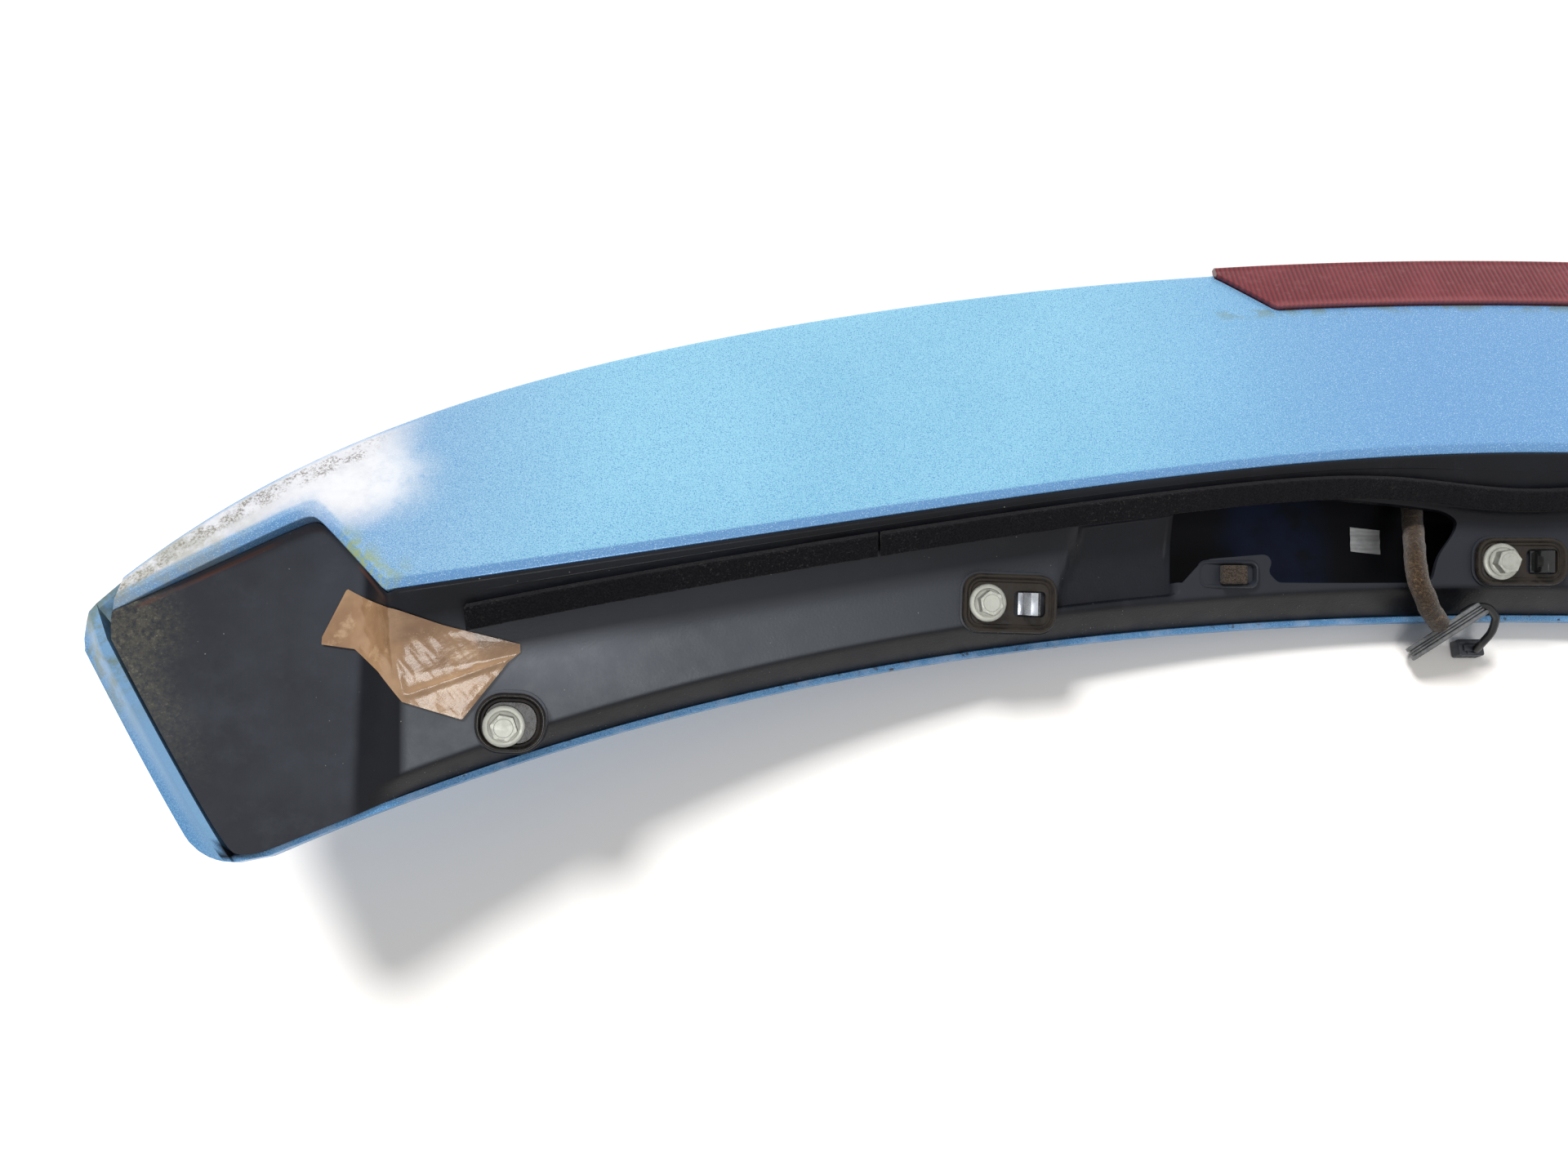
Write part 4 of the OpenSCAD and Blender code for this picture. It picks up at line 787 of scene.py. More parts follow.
LENS_HALF, LENS_INNER_HALF, LENS_W, LENS_PROUD, LENS_WALL, LENS_GAP = 128.0, 103.0, 27.0, 2.6, 2.0, 0.4
CORNER_SHARE, LEAD_FROM, TRAIL_FROM, CORNER_MAX = 0.48, 0.966, 0.975, 0.995
HALF_SPAN = SPAN / 2 + CORNER_SHARE * TRAIL_CORNER_R
LEAD_HALF = LEAD_SPAN / 2
TIP_X = 602.0


def crown(x):
    return CROWN_R - math.sqrt(CROWN_R ** 2 - x * x)


def rounding(k, start):
    u = clamp01((abs(k) - start) / (1 - start))
    return 1 - math.sqrt(1 - u * u)


def le_y(x):
    k = x / LEAD_HALF
    return LEAD_Y - LE_SWEEP * k * k - LE_HOOK * k ** 4


def te_y(x):
    k = abs(x) / HALF_SPAN
    return LEAD_Y + CHORD - TE_SWEEP * k * k - TE_HOOK * k ** 9.5


def seam_y(x):
    return LEAD_Y + SEAM_DEPTH - (math.sqrt(SEAM_FLAT ** 2 + (SEAM_SLOPE * x) ** 2) - SEAM_FLAT)


def side_power(t):
    return 1 - (1 - SIDE_BOW) * abs(t) ** 12


def fan(t, s):
    xf, xb = t * LEAD_HALF, t * HALF_SPAN
    return Vector((mix(xf, xb, max(s, 0) ** side_power(t)), mix(le_y(xf), te_y(xb), s)))


def tip_len(t):
    return (fan(t, 1) - fan(t, 0)).length


def fan_s(t, s):
    length = tip_len(t)
    return mix(LEAD_CORNER_R * rounding(t, LEAD_FROM) / length,
               1 - TRAIL_CORNER_R * rounding(t, TRAIL_FROM) / length, s)


def fan_point(t, s, z):
    p = fan(t, fan_s(t, s))
    x = max(cad_low[0] / MM, min(cad_high[0] / MM, p.x))
    return Vector((x, p.y, z + crown(x)))


def skin_low(s):
    if s < LOW_SHARE:
        return (LIP_Z - LIP_H) * ((LOW_SHARE - s) / LOW_SHARE) ** 2.4
    return (REAR_RIM_Z - REAR_RIM_H) * ((s - LOW_SHARE) / (1 - LOW_SHARE)) ** 2


TIP_FROM = 0.925


def tip_blend(t):
    return clamp01((abs(t) - TIP_FROM) / (1 - TIP_FROM)) ** 2


def skin_under(t, s):
    edge = CREASE_Z - CREASE_H
    return max(edge * tip_blend(t), mix(skin_low(s), edge, tip_blend(t)))


def side_inset(s):
    return (6.6 + 1.2 * (1 - s) ** 2) / HALF_SPAN


def side_climb(s):
    return mix(PANEL_FRONT_Z, PANEL_REAR_Z - 1, s)


def side_top(s):
    if s < 0.85:
        return side_climb(s)
    return mix(side_climb(0.85), REAR_RIM_Z, (s - 0.85) / 0.15)


def inner_s(t, s):
    k = SKIN_WALL / tip_len(t)
    return mix(k, 1 - k, s)


SIDE_WALL_T = SKIN_WALL / HALF_SPAN
side_pts = []
for k in range(41):
    share = k / 40
    t_side = 1 - SIDE_WALL_T - side_inset(share) - 0.6 / HALF_SPAN
    p_side = fan(t_side, fan_s(t_side, share))
    side_pts.append((p_side.x, p_side.y, share))


def side_line(x):
    return lookup(abs(x), [(p[0], p[1]) for p in side_pts])


def side_share(x):
    return lookup(abs(x), [(p[0], p[2]) for p in side_pts])


def side_reach(y):
    """Half width of the panel's side line at a depth."""
    return lookup(y, [(p[1], p[0]) for p in side_pts])


def rim_line(x):
    return LEAD_Y + 24 + (abs(x) - 535) * (-22.15 - 24) / (604.5 - 535)


def diagonal(x):
    return LEAD_Y - 11 + (abs(x) - 500) * 35 / 35


def base_back(x):
    return soft_min(max(seam_y(x), diagonal(x)), rim_line(x), 5)


def base_front(x):
    lip = mix(LIP_W, PANEL_LIP_W, panel_blend(x))
    corner = LEAD_CORNER_R * rounding(min(abs(x) / LEAD_HALF, CORNER_MAX), LEAD_FROM)
    return soft_max(le_y(x) + lip + corner, side_line(x), 3)


def panel_blend(x):
    return smooth((abs(x) - BODY_HALF) / (PANEL_HALF - BODY_HALF))


def bolt_share(x):
    return (x / BOLT_OUTER_X) ** 2


def band_width(x):
    return BAND_W - BAND_TAPER * bolt_share(x)


def band_top(x):
    return LIP_Z + BAND_RISE * (1 - 0.2 * bolt_share(x))


def pad_z(x, y):
    return band_top(x) + PAD_SLOPE * (y - base_front(x) - band_width(x))


def rim_width(x):
    return RIM_W + RIM_DIP * math.exp(-(x / 60) ** 2) + 3.3 * (abs(x) / FOAM_END) ** 6


def recess(x, y):
    return (smooth((PAD_IN + 0.33 * (LEAD_Y + 36 - y) - abs(x)) / 5 + 0.5)
            * smooth((abs(x) - CENTRE_PAD_HALF) / 5 + 0.5))


def floor_share(x, y):
    return recess(x, y) * (smooth((-x - TONGUE_LEFT - 2) / 5) if x < 0 else 1)


def panel_z(x, f):
    return mix(side_climb(side_share(x)), PANEL_REAR_Z, f) + 2.4 * f * (1 - f)


PANEL_F = [0, 0.1, 0.2, 0.26, 0.42, 0.6, 0.72, 0.76, 0.88, 0.96, 1]


def body_points(x):
    yf, yb, rim = base_front(x), base_back(x), rim_width(x)
    strip = band_width(x) + OPEN_STRIP
    y_ledge = yb - rim - LEDGE_W
    y_crease = y_ledge - CREASE_GAP
    y_toe = yf + strip + 1.5
    y_mid = (y_toe + y_crease) / 2
    y_heel = y_ledge - 1.2
    z_ledge = RIDGE_Z - LEDGE_SLOPE * (rim + LEDGE_W)

    def drop(y):
        return RECESS_DROP * floor_share(x, y)

    return [(yf, LIP_Z), (yf + band_width(x), band_top(x)), (yf + strip, pad_z(x, yf + strip)),
            (y_toe, pad_z(x, y_toe) - drop(y_toe)), (y_mid, pad_z(x, y_mid) - drop(y_mid)),
            (y_crease, pad_z(x, y_crease) - drop(y_crease)),
            (y_heel, z_ledge - 0.8 - drop(y_heel)), (y_ledge, z_ledge),
            (yb - rim, RIDGE_Z - LEDGE_SLOPE * rim), (yb - 1.5, RIDGE_Z - LEDGE_SLOPE * 1.5),
            (yb, RIDGE_Z - 1.5)]


def base_points(x):
    e = panel_blend(x)
    yf, yb = base_front(x), base_back(x)
    return [(mix(p[0], mix(yf, yb, f), e), mix(p[1], panel_z(x, f), e))
            for p, f in zip(body_points(x), PANEL_F)]


def wall_shift(i, n, r):
    if i == 0:
        return 0.35
    if i == n - 1:
        return -0.1
    if i == n - 2:
        return 0.2
    if i == 1:
        return mix(0.6, 0.3, r)
    if i in (2, 3):
        return mix(0.6, -0.6, r)
    return 0.6


TOP_RADII = [0.6, 3.0, 0.8, 0.8, 2, 6.0, 0.7, 0.6, 0.8, 0.7, 0.6]


def base_ring(x):
    top = base_points(x)
    n = len(top)
    r = floor_share(x, top[3][0])
    narrow = min(1, (top[-1][0] - top[0][0]) / 50)
    low = [(top[i][0] + narrow * BASE_WALL * wall_shift(i, n, r),
            top[i][1] - BASE_WALL * (0.6 if i == 0 else 0.9)) for i in range(n - 1, -1, -1)]
    ring = fillet(top + low, TOP_RADII + [0.3] * n)
    c = crown(x)
    return [Vector((x, p.x, p.y + c)) for p in ring]


def base_top(x, y):
    pts = base_points(x)
    return lookup(y, pts) + crown(x)


def on_pad(x, inset):
    y = le_y(x) + inset
    return (Matrix.Translation((x, y, pad_z(x, y) + crown(x)))
            @ Matrix.Rotation(-math.asin(x / CROWN_R), 4, "Y")
            @ Matrix.Rotation(math.atan(PAD_SLOPE), 4, "X"))


SEATS = [(-BOLT_OUTER_X, BOLT_OUTER_IN), (-BOLT_INNER_X, BOLT_INNER_IN),
         (-BOLT_CENTRE_X, BOLT_CENTRE_IN), (BOLT_INNER_X, BOLT_INNER_IN), (BOLT_OUTER_X, BOLT_OUTER_IN)]
# Node, size, corner radius, shift from the bolt, and place of the clip's slot, or 0 without one
GASKETS = [("gasket_left_outer", (28, 24), 11, (2.5, 1.4), 0),
           ("gasket_left_inner", (43, 26), 8, (10.5, 0), 19.5),
           ("gasket_centre", (42, 22), 8, (10, 0), 19.5),
           ("gasket_right_inner", (43, 26), 8, (-10.5, 0), -19.5),
           ("gasket_right_outer", (28, 24), 11, (-2.5, 1.4), 0)]

# ---------------------------------------------------------------- base moulding
def cylinder(r, m, low=-20, high=20):
    return turned_rings([(r, low), (r, high)], m, 32)


x_stations = []
for low, high, step in ((0, 30, 3), (30, 37, 1), (37, 160, 3), (160, 175, 1.25), (175, 200, 3),
                        (200, 232, 1.5), (232, 486, 3), (486, 525, 1.8), (525, TIP_X, 1.6)):
    x_stations += steps(low, high, step)[0 if low == 0 else 1:]
both = [-x for x in reversed(x_stations[1:])] + x_stations
base = loft("base_moulding", [base_ring(x) for x in both], 28)

y_back = LEAD_Y + SEAM_DEPTH - RIM_W - LEDGE_W
open_y = LEAD_Y + 14
opening = [(-OPEN_LEFT, LEAD_Y + 12), (-OPEN_LEFT, y_back - 13), (-130, y_back - 7.5), (-95, y_back - 6),
           (-60, y_back - 8), (-OPEN_RIGHT - 8, y_back - 10), (-OPEN_RIGHT - 1, y_back - 14),
           (-OPEN_RIGHT - 2, y_back - 19), (-OPEN_RIGHT - 10, y_back - 30), (-OPEN_RIGHT - 13, open_y),
           (-75, open_y - 0.5), (-105, open_y - 0.9),
           (-TONGUE_RIGHT + 0.3, open_y - 1), (-TONGUE_RIGHT - 4.5, open_y + 3.5),
           (-TONGUE_RIGHT - 2.5, open_y + TONGUE_REACH - 5),
           (-TONGUE_RIGHT - 5, open_y + TONGUE_REACH - 1.5),
           (-TONGUE_LEFT + 10, open_y + TONGUE_REACH - 4.5), (-TONGUE_LEFT, LEAD_Y + 11.9)]
opening_radii = [0.5, 1.5, 20, 20, 20, 5, 4, 4, 4, 4, 10, 10, 2, 3, 2.5, 3, 5, 0.5]
outline = fillet(opening, opening_radii, 5)
cutter = stacks("cutter", [[[Vector((p.x, p.y, z)) for p in outline] for z in (2, 90)]]
                + [cylinder(6, on_pad(*s)) for s in SEATS])
cut(base, cutter)
BORE_R, BOSS_R = 5, 7.2
blocks = []
for (x, inset), (name, size, r, shift, slot_x) in zip(SEATS, GASKETS):
    m = on_pad(x, inset)
    blocks.append(stacks("block", [offset_rings((size[0] + 2, size[1] + 2), r + 1,
                                                [(0, -4), (0, 0.6), (0.15, 0.9), (0.5, 1)], shift, m)]))
    cut(blocks[-1], stacks("cutter", [cylinder(BORE_R, m)]))
    blocks.append(stacks("boss", [cylinder(BOSS_R, m, -15, -3)]))
    cut(blocks[-1], stacks("cutter", [cylinder(BORE_R, m)]))
tongue_mid = (-(TONGUE_LEFT + TONGUE_RIGHT) / 2 - 1, LEAD_Y + 16.2)
tongue = (Matrix.Translation((*tongue_mid, pad_z(*tongue_mid) + crown(tongue_mid[0])))
          @ Matrix.Rotation(math.atan(PAD_SLOPE), 4, "X"))
POCKET = [(0, -1.0), (-0.3, 0.1), (0, 0.9), (0.6, 1.4), (1.3, 1.2), (1.9, 0.5), (2.3, -0.4), (2.4, -1.0)]
blocks.append(stacks("pocket", [offset_rings((28, 12.5), 4, POCKET, matrix=tongue)]))
# A thin raised rib along the rim strip, as a line in the moulding
RIB_FROM, RIB_TO = 6, 462
rib = []
for sgn in (-1, 1):
    rings = []
    for x in steps(RIB_FROM, RIB_TO, 4):
        y = base_back(x) - 0.42 * rim_width(x) - 1.2
        z = base_top(sgn * x, y)
        fade = smooth((x - RIB_FROM) / 60) * smooth((RIB_TO - x) / 20)
        rings.append([Vector((sgn * x, y + 0.35 * math.cos(a), z + 0.3 * fade * math.sin(a) - 0.08))
                      for a in around(8)])
    rib.append(rings)
blocks.append(stacks("rib", rib, 60))
base = join("base_moulding", [base] + blocks)
shade(base, 32)


def base_weights(x, y, z):
    """Where the materials change on the base: shares from 0 to 1, and distances in metres."""
    xc = max(-TIP_X, min(TIP_X, x))
    yf, yb, band = base_front(xc), base_back(xc), band_width(xc)
    crease = yb - rim_width(xc) - LEDGE_W - CREASE_GAP
    e = panel_blend(x)
    flat = (1 - floor_share(x, y)) * (1 - smooth(e / 0.03))
    return {"panel": e,
            "front": (1 - smooth((y - yf) / (band + 3))) * (1 - e),
            "back": (yb - y) * MM,
            "pad": smooth((y - yf - band) / 2) * (1 - smooth((y - crease) / 6)) * flat,
            "pad_back": (smooth((y - crease + 1) / 3)
                         * (1 - smooth((y - crease - CREASE_GAP) / 2)) * flat),
            "side_dist": (side_reach(y) - abs(x)) * MM}


weights(base, base_weights)
piece(base, "base_panel", MAT["base_plastic"])


# ---------------------------------------------------------------- under skin and lens
def band_slope(x):
    q = min(abs(x), 500)
    return (RIDGE_Z - UNDER_TE_Z) / (te_y(q) - seam_y(q))


def swell(x, y):
    u = clamp01((te_y(x) - y) / (te_y(x) - seam_y(x)))
    return LAMP_SWELL * smooth((LAMP_SWELL_HALF - abs(x)) / 40 + 0.4) * 4 * u * (1 - u)


def band_z(x, y):
    return UNDER_TE_Z + band_slope(x) * (te_y(x) - y) + swell(x, y)


UNDER_F = [0.08, 0.14, 0.2, 0.27, 0.34, 0.41, 0.48, 0.55, 0.62, 0.69, 0.76, 0.83, 0.9, 0.95]
TE_INSET = 1.0


def under_ring(x):
    ya, yt = base_back(x) + JOINT_GAP, te_y(x) - TE_INSET
    w = yt - ya
    r = min(SEAM_RETURN_W, 0.3 * w)
    c = crown(x)
    top_edge = band_z(x, ya)
    low_te = REAR_RIM_Z + JOINT_GAP
    z_foot = min(top_edge - SKIN_WALL - SEAM_RETURN_H - 0.5, base_points(x)[10][1] - 0.9 * BASE_WALL)
    middle = [mix(ya + r, yt, f) for f in UNDER_F]
    wall = min(SKIN_WALL, 0.2 * w)
    pts = [(ya, z_foot), (ya, top_edge - SEAM_RETURN_H), (ya + r, band_z(x, ya + r))]
    pts += [(y, band_z(x, y)) for y in middle]
    pts += [(yt, UNDER_TE_Z), (yt, low_te),
            (yt - 0.06 * w, max(low_te, band_z(x, yt - 0.06 * w) - SKIN_WALL))]
    pts += [(y, max(low_te, band_z(x, y) - SKIN_WALL)) for y in reversed(middle[:-1])]
    pts += [(ya + r, band_z(x, ya + r) - SKIN_WALL), (ya + wall, top_edge - SEAM_RETURN_H - SKIN_WALL),
            (ya + wall, z_foot)]
    radii = [0.2, 0.7, 1.2] + [0.5] * len(middle) + [1.4] + [0.3] * (len(middle) + 3) + [0.2]
    return [Vector((x, p.x, p.y + c)) for p in fillet(pts, radii)]


under = loft("under_skin_moulding", [under_ring(x) for x in both], 30)


def lens_width(x):
    if abs(x) < LENS_INNER_HALF:
        return LENS_W
    return mix(3, LENS_W, (LENS_HALF - abs(x)) / (LENS_HALF - LENS_INNER_HALF))


lens_xs = steps(-LENS_HALF, LENS_HALF, 2)
hole = [Vector((x * (1 + LENS_GAP / LENS_HALF), te_y(x) - lens_width(x) - LENS_GAP)) for x in lens_xs]
hole += [Vector((side * (LENS_HALF + LENS_GAP), te_y(LENS_HALF) + 20)) for side in (1, -1)]
cut(under, stacks("cutter", [[[Vector((p.x, p.y, z)) for p in hole] for z in (0, 60)]]))
shade(under, 30)
weights(under, lambda x, y, z: {"te_dist": (te_y(x) - y) * MM,
                                "seam_dist": (y - base_back(max(-TIP_X, min(TIP_X, x)))) * MM})
piece(under, "under_skin", MAT["under_paint"])


def lens_ring(x, open_back):
    w, yt, c = lens_width(x), te_y(x), crown(x)
    yi = yt - w
    zi = band_z(x, yi) + LENS_PROUD
    zt = UNDER_TE_Z + LENS_PROUD
    zr = REAR_RIM_Z + 2 * JOINT_GAP
    zl = max(zr, zi - LENS_PROUD - 4)
    ye = yt + LENS_PROUD
    t = min(LENS_WALL, 0.3 * w)
    pts = [(yi, zi - 0.8), (yi + 0.8, zi), (yt - 0.5, zt + 0.1), (ye - 0.9, zt - 0.3), (ye, zt - 1.5),
           (ye, zr),
           (ye - t, zr + 0.1), (ye - t, zt - 2.2 if open_back else zr + 0.25),
           (yt - min(1.5, 0.4 * w), zt - LENS_WALL if open_back else zr + 0.4),
           (yi + t, zi - LENS_WALL if open_back else zl + 0.3), (yi + t, zl + 0.15), (yi, zl + 0.05)]
    return [Vector((x, p.x, p.y + c)) for p in fillet(pts, [0.4, 0.4, 0.6, 0.5, 0.5] + [0.1] * 7)]


inner = LENS_HALF - LENS_WALL
lens_rows = [(-LENS_HALF, False), (-inner - 0.2, False)] + [(x, True) for x in steps(-inner, inner, 2)]
lens_rows += [(inner + 0.2, False), (LENS_HALF, False)]
lens = loft("ribbed_lens", [lens_ring(x, o) for x, o in lens_rows], 40)
weights(lens, lambda x, y, z: {"te_dist": (te_y(x) - y) * MM})
piece(lens, "brake_lamp_lens", MAT["lens_red"])

# ---------------------------------------------------------------- outer skin
SKIN_MIDDLE = [0.09, 0.12, 0.155, 0.19, 0.225, 0.26, 0.31, 0.365, 0.42, 0.485, 0.55, 0.615, 0.68, 0.74,
               0.8, 0.85, 0.9, 0.93, 0.96]
SKIN_BOTTOM = [0, 0.01, 0.02, 0.04, 0.06] + SKIN_MIDDLE + [0.985, 1]
SKIN_TOP = [0, 0.02, 0.06] + SKIN_MIDDLE + [1]


def skin_row(t, back, open_row, top):
    sgn = sign(t)
    n = len(SKIN_TOP)
    row = []
    for s in SKIN_BOTTOM:
        u = t - sgn * back * side_inset(s)
        row.append(fan_point(u, s, skin_under(u, s)))
    for i in range(n - 1, -1, -1):
        s = SKIN_TOP[i]
        u = t - sgn * back * side_inset(s)
        z_top = mix(LIP_Z, REAR_RIM_Z, s) if top < 0 else mix(CREASE_Z, side_top(s), top)
        if not open_row:
            row.append(fan_point(u, s, z_top))
        elif i == n - 1:
            row.append(fan_point(u, 1, REAR_RIM_Z))
        elif i == 0:
            row.append(fan_point(u, 0, LIP_Z))
        elif i == n - 2:
            row.append(fan_point(u, inner_s(u, 1), REAR_RIM_Z))
        elif i == 1:
            row.append(fan_point(u, inner_s(u, 0), LIP_Z))
        elif i == 2:
            row.append(fan_point(u, inner_s(u, 0.012), skin_under(u, 0.012) + 1.9))
        else:
            z_in = skin_under(u, s) + SKIN_WALL
            row.append(fan_point(u, inner_s(u, s), min(z_in, mix(LIP_Z, REAR_RIM_Z, s) - 0.5)))
    return row


half_rows = [(t, 0, True, -1) for t in steps(0, 0.9, 0.02) + [0.9125, TIP_FROM]]
half_rows += [(t, 1, True, -1) for t in (0.96, 0.978, 1 - SIDE_WALL_T)]
half_rows += [(1 - SIDE_WALL_T + 0.0002, 1, False, 1), (1 - 0.1 * SIDE_WALL_T, 1, False, 0.995)]
half_rows += [(1, back, False, top) for back, top in ((0.98, 0.96), (0.75, 0.72), (0.5, 0.45), (0.42, 0.37),
                                                      (0.2, 0.17), (0.03, 0.02), (0, 0))]
skin_rows = [(-r[0], *r[1:]) for r in reversed(half_rows[1:])] + half_rows
outer = loft("outer_skin_moulding", [skin_row(*r) for r in skin_rows], 30)


SKIN_END = 555


def outer_weights(x, y, z):
    """Shares of the side face, of the lip and of the skin's inner face."""
    from_edge = y - le_y(max(-SKIN_END, min(SKIN_END, x)))
    width = te_y(x) - le_y(x) if abs(x) < SKIN_END - 5 else CHORD
    over = z - crown(x) - skin_low(clamp01(from_edge / width))
    inside = over > 1.2 and abs(x) < SKIN_END + 5 and from_edge > 4 and te_y(x) - y > 3
    return {"side": smooth((z - crown(x) - 9) / 7) if abs(x) > SKIN_END + 5 else 0.0,
            "lip": 1.0 - smooth((from_edge - 2) / 4),
            "inner": 1.0 if inside else 0.0}


weights(outer, outer_weights)
piece(outer, "outer_skin", MAT["outer_paint"])

# ---------------------------------------------------------------- foam strips
LEDGE_DIR = Vector((1, LEDGE_SLOPE)).normalized()
LEDGE_NRM = Vector((-LEDGE_DIR.y, LEDGE_DIR.x))


def foam_ring(x, seed):
    c = crown(x)
    back = base_back(x) - rim_width(x) - LEDGE_W + 0.1
    ledge_z = RIDGE_Z - LEDGE_SLOPE * (rim_width(x) + LEDGE_W - 0.1) + c
    p = Vector((back, ledge_z)) + JOINT_GAP * LEDGE_NRM
    ring = []
    for d, h in rounded_rect((FOAM_W, FOAM_H), 0.9, 6):
        q = p + (d + FOAM_W / 2) * LEDGE_DIR + (h + FOAM_H / 2) * LEDGE_NRM
        fuzz = noise.noise(Vector((x * 0.9, d * 1.1 + seed, h * 1.1)))
        lump = noise.noise(Vector((x * 0.05, d * 0.2 + seed, h * 0.2)))
        lift = (0.30 * fuzz + 0.30 * lump) * (1 if h > -FOAM_H / 2 + 0.5 else 0)
        q = q + LEDGE_NRM * lift + LEDGE_DIR * 0.25 * fuzz * (d / FOAM_W)
        ring.append(Vector((x, q.x, q.y)))
    return ring


half_gap = FOAM_CUT_GAP / 2
for name, node, low, high in (
        ("foam_left", "foam_strip_left", -FOAM_END, -FOAM_CUT - half_gap),
        ("foam_centre", "foam_strip_centre", -FOAM_CUT + half_gap, FOAM_CUT - half_gap),
        ("foam_right", "foam_strip_right", FOAM_CUT + half_gap, FOAM_END)):
    strip = loft(name, [foam_ring(x, 0) for x in steps(low, high, 1.1)], 50)
    piece(strip, node, MAT["strip_foam"])

# ---------------------------------------------------------------- gaskets, washers, bolts, clips
SEAT_TOP = 1.2
RIM = [(0.6, 0), (0.1, 0.3), (0, 1.2), (0.15, 2.4), (0.6, 2.9), (1.1, 3.0), (1.6, 2.8), (1.9, 2.2),
       (2.3, 1.9), (2.8, 2.1), (3.2, 2.2), (3.6, 1.9), (3.8, 1.6)]
for (x, inset), (node, size, r, shift, slot_x) in zip(SEATS, GASKETS):
    m = on_pad(x, inset)
    ring = offset_rings(size, r, [(d, z + SEAT_TOP) for d, z in RIM], shift, m, 10)
    gasket = stacks(node + "_rubber", [ring], 50)
    holes = [cylinder(5.5, m, -1, 9)]
    if slot_x:
        holes.append(offset_rings((14.5, 11.5), 2, [(0, -1), (0, 9)], (slot_x, 0), m, 4))
    cut(gasket, stacks("cutter", holes))
    shade(gasket, 50)
    outer_one = node.endswith("outer")
    piece(gasket, node, MAT["outer_gasket" if outer_one else "gasket_rubber"])

INSERT_TOP = 3.2
WASHER_TOP = 4.8
BOLT_AF = 10.0
HEX_TURN = [20, 12, 40, 25, 5]


def hex_rings(m, turn, z0, z1, count=72):
    """A hexagon head, chamfered by its reach, with a shallow dish in its top."""
    apothem = BOLT_AF / 2
    rings = [[] for _ in range(7)]
    for a in around(count):
        reach = apothem / math.cos((a + math.pi / 6) % (math.pi / 3) - math.pi / 6)
        over = reach - apothem
        levels = [(reach, z0), (reach, z1 - 0.35 - 0.5 * over), (0.97 * reach, z1 - 0.08 - 0.4 * over),
                  (0.93 * reach, z1), (apothem * 0.78, z1 - 0.02), (apothem * 0.72, z1 - 0.3),
                  (0.05, z1 - 0.35)]
        for ring, (r, z) in zip(rings, levels):
            ring.append(m @ Vector((r * math.cos(a + turn), r * math.sin(a + turn), z)))
    return rings


# Radius, and height over the insert for the washer and over the washer for the bolt's flange
WASHER = [(3.4, 0), (8.2, 0), (8.45, 0.2), (8.5, 0.6), (8.35, 1.1), (7.9, 1.45), (7.3, 1.58), (6.3, 1.6),
          (3.4, 1.6)]
FLANGE = [(2.6, -15), (3.0, -14.4), (3.0, 0.05), (6.1, 0.05), (6.4, 0.3), (6.45, 0.6), (6.2, 0.95),
          (5.7, 1.3), (5.2, 1.5), (0.5, 1.5)]
washer_rings, bolt_rings = [], []
for (x, inset), turn in zip(SEATS, HEX_TURN):
    m = on_pad(x, inset)
    washer_rings.append(turned_rings([(r, INSERT_TOP + z) for r, z in WASHER], m))
    bolt_rings.append(turned_rings([(r, WASHER_TOP + z) for r, z in FLANGE], m))
    bolt_rings.append(hex_rings(m, math.radians(turn), WASHER_TOP + 1.2, WASHER_TOP + 5.5))
piece(stacks("plated_washers", washer_rings, 40), "bolt_washers", MAT["zinc_steel"])
piece(stacks("flange_bolts", bolt_rings, 35), "mounting_bolts", MAT["zinc_steel"])
for node, name, slot in (("locating_clip_left", "clip_left_steel", "clip_steel"),
                         ("locating_clip_right", "clip_right_steel", "clip_steel"),
                         ("locating_clip_centre", "clip_centre_black", "clip_black")):
    piece(softened(name, node, 0.18), node, MAT[slot])

# ---------------------------------------------------------------- plug, label, tape
PLUG = [(0.4, 0.6), (0, 1.0), (0, 5.0), (0.4, 5.5), (1.5, 5.6)]
plug = loft("foam_plug", offset_rings((11, 8.5), 1, PLUG, (1.5, -0.2), tongue, 6), 50)
bm = bmesh.new()
bm.from_mesh(plug.data)
bmesh.ops.subdivide_edges(bm, edges=bm.edges, cuts=3, use_grid_fill=True)
for v in bm.verts:
    v.co += v.normal * 0.00018 * noise.noise(v.co * 2600)
bm.to_mesh(plug.data)
bm.free()
shade(plug, 60)
piece(plug, "pocket_plug", MAT["plug_foam"])

label_at = Vector((-60, LEAD_Y + 42))
label_s = (label_at.y - le_y(label_at.x)) / CHORD
label_z = skin_low(label_s) + SKIN_WALL + crown(label_at.x) + 0.6
label_m = (Matrix.Translation((label_at.x, label_at.y, label_z))
           @ Matrix.Rotation(math.radians(-6), 4, "Z") @ Matrix.Rotation(math.radians(2), 4, "Y"))


def sheet(name, columns, rows, point, thickness):
    """A thin closed sheet over a grid; point gives the under side."""
    verts, faces = [], []
    for side in (0, 1):
        for i in range(columns + 1):
            for j in range(rows + 1):
                verts.append(point(i / columns, j / rows) + Vector((0, 0, side * thickness)))
    n = (columns + 1) * (rows + 1)
    for i in range(columns):
        for j in range(rows):
            a = i * (rows + 1) + j
            quad = (a, a + 1, a + rows + 2, a + rows + 1)
            faces.append(quad)
            faces.append(tuple(q + n for q in reversed(quad)))
    edge = [i * (rows + 1) for i in range(columns + 1)]
    edge += [columns * (rows + 1) + j for j in range(1, rows + 1)]
    edge += [i * (rows + 1) + rows for i in range(columns - 1, -1, -1)]
    edge += [j for j in range(rows - 1, 0, -1)]
    for a, b in zip(edge, edge[1:] + edge[:1]):
        faces.append((a, b, b + n, a + n))
    return make(name, verts, faces, 50)


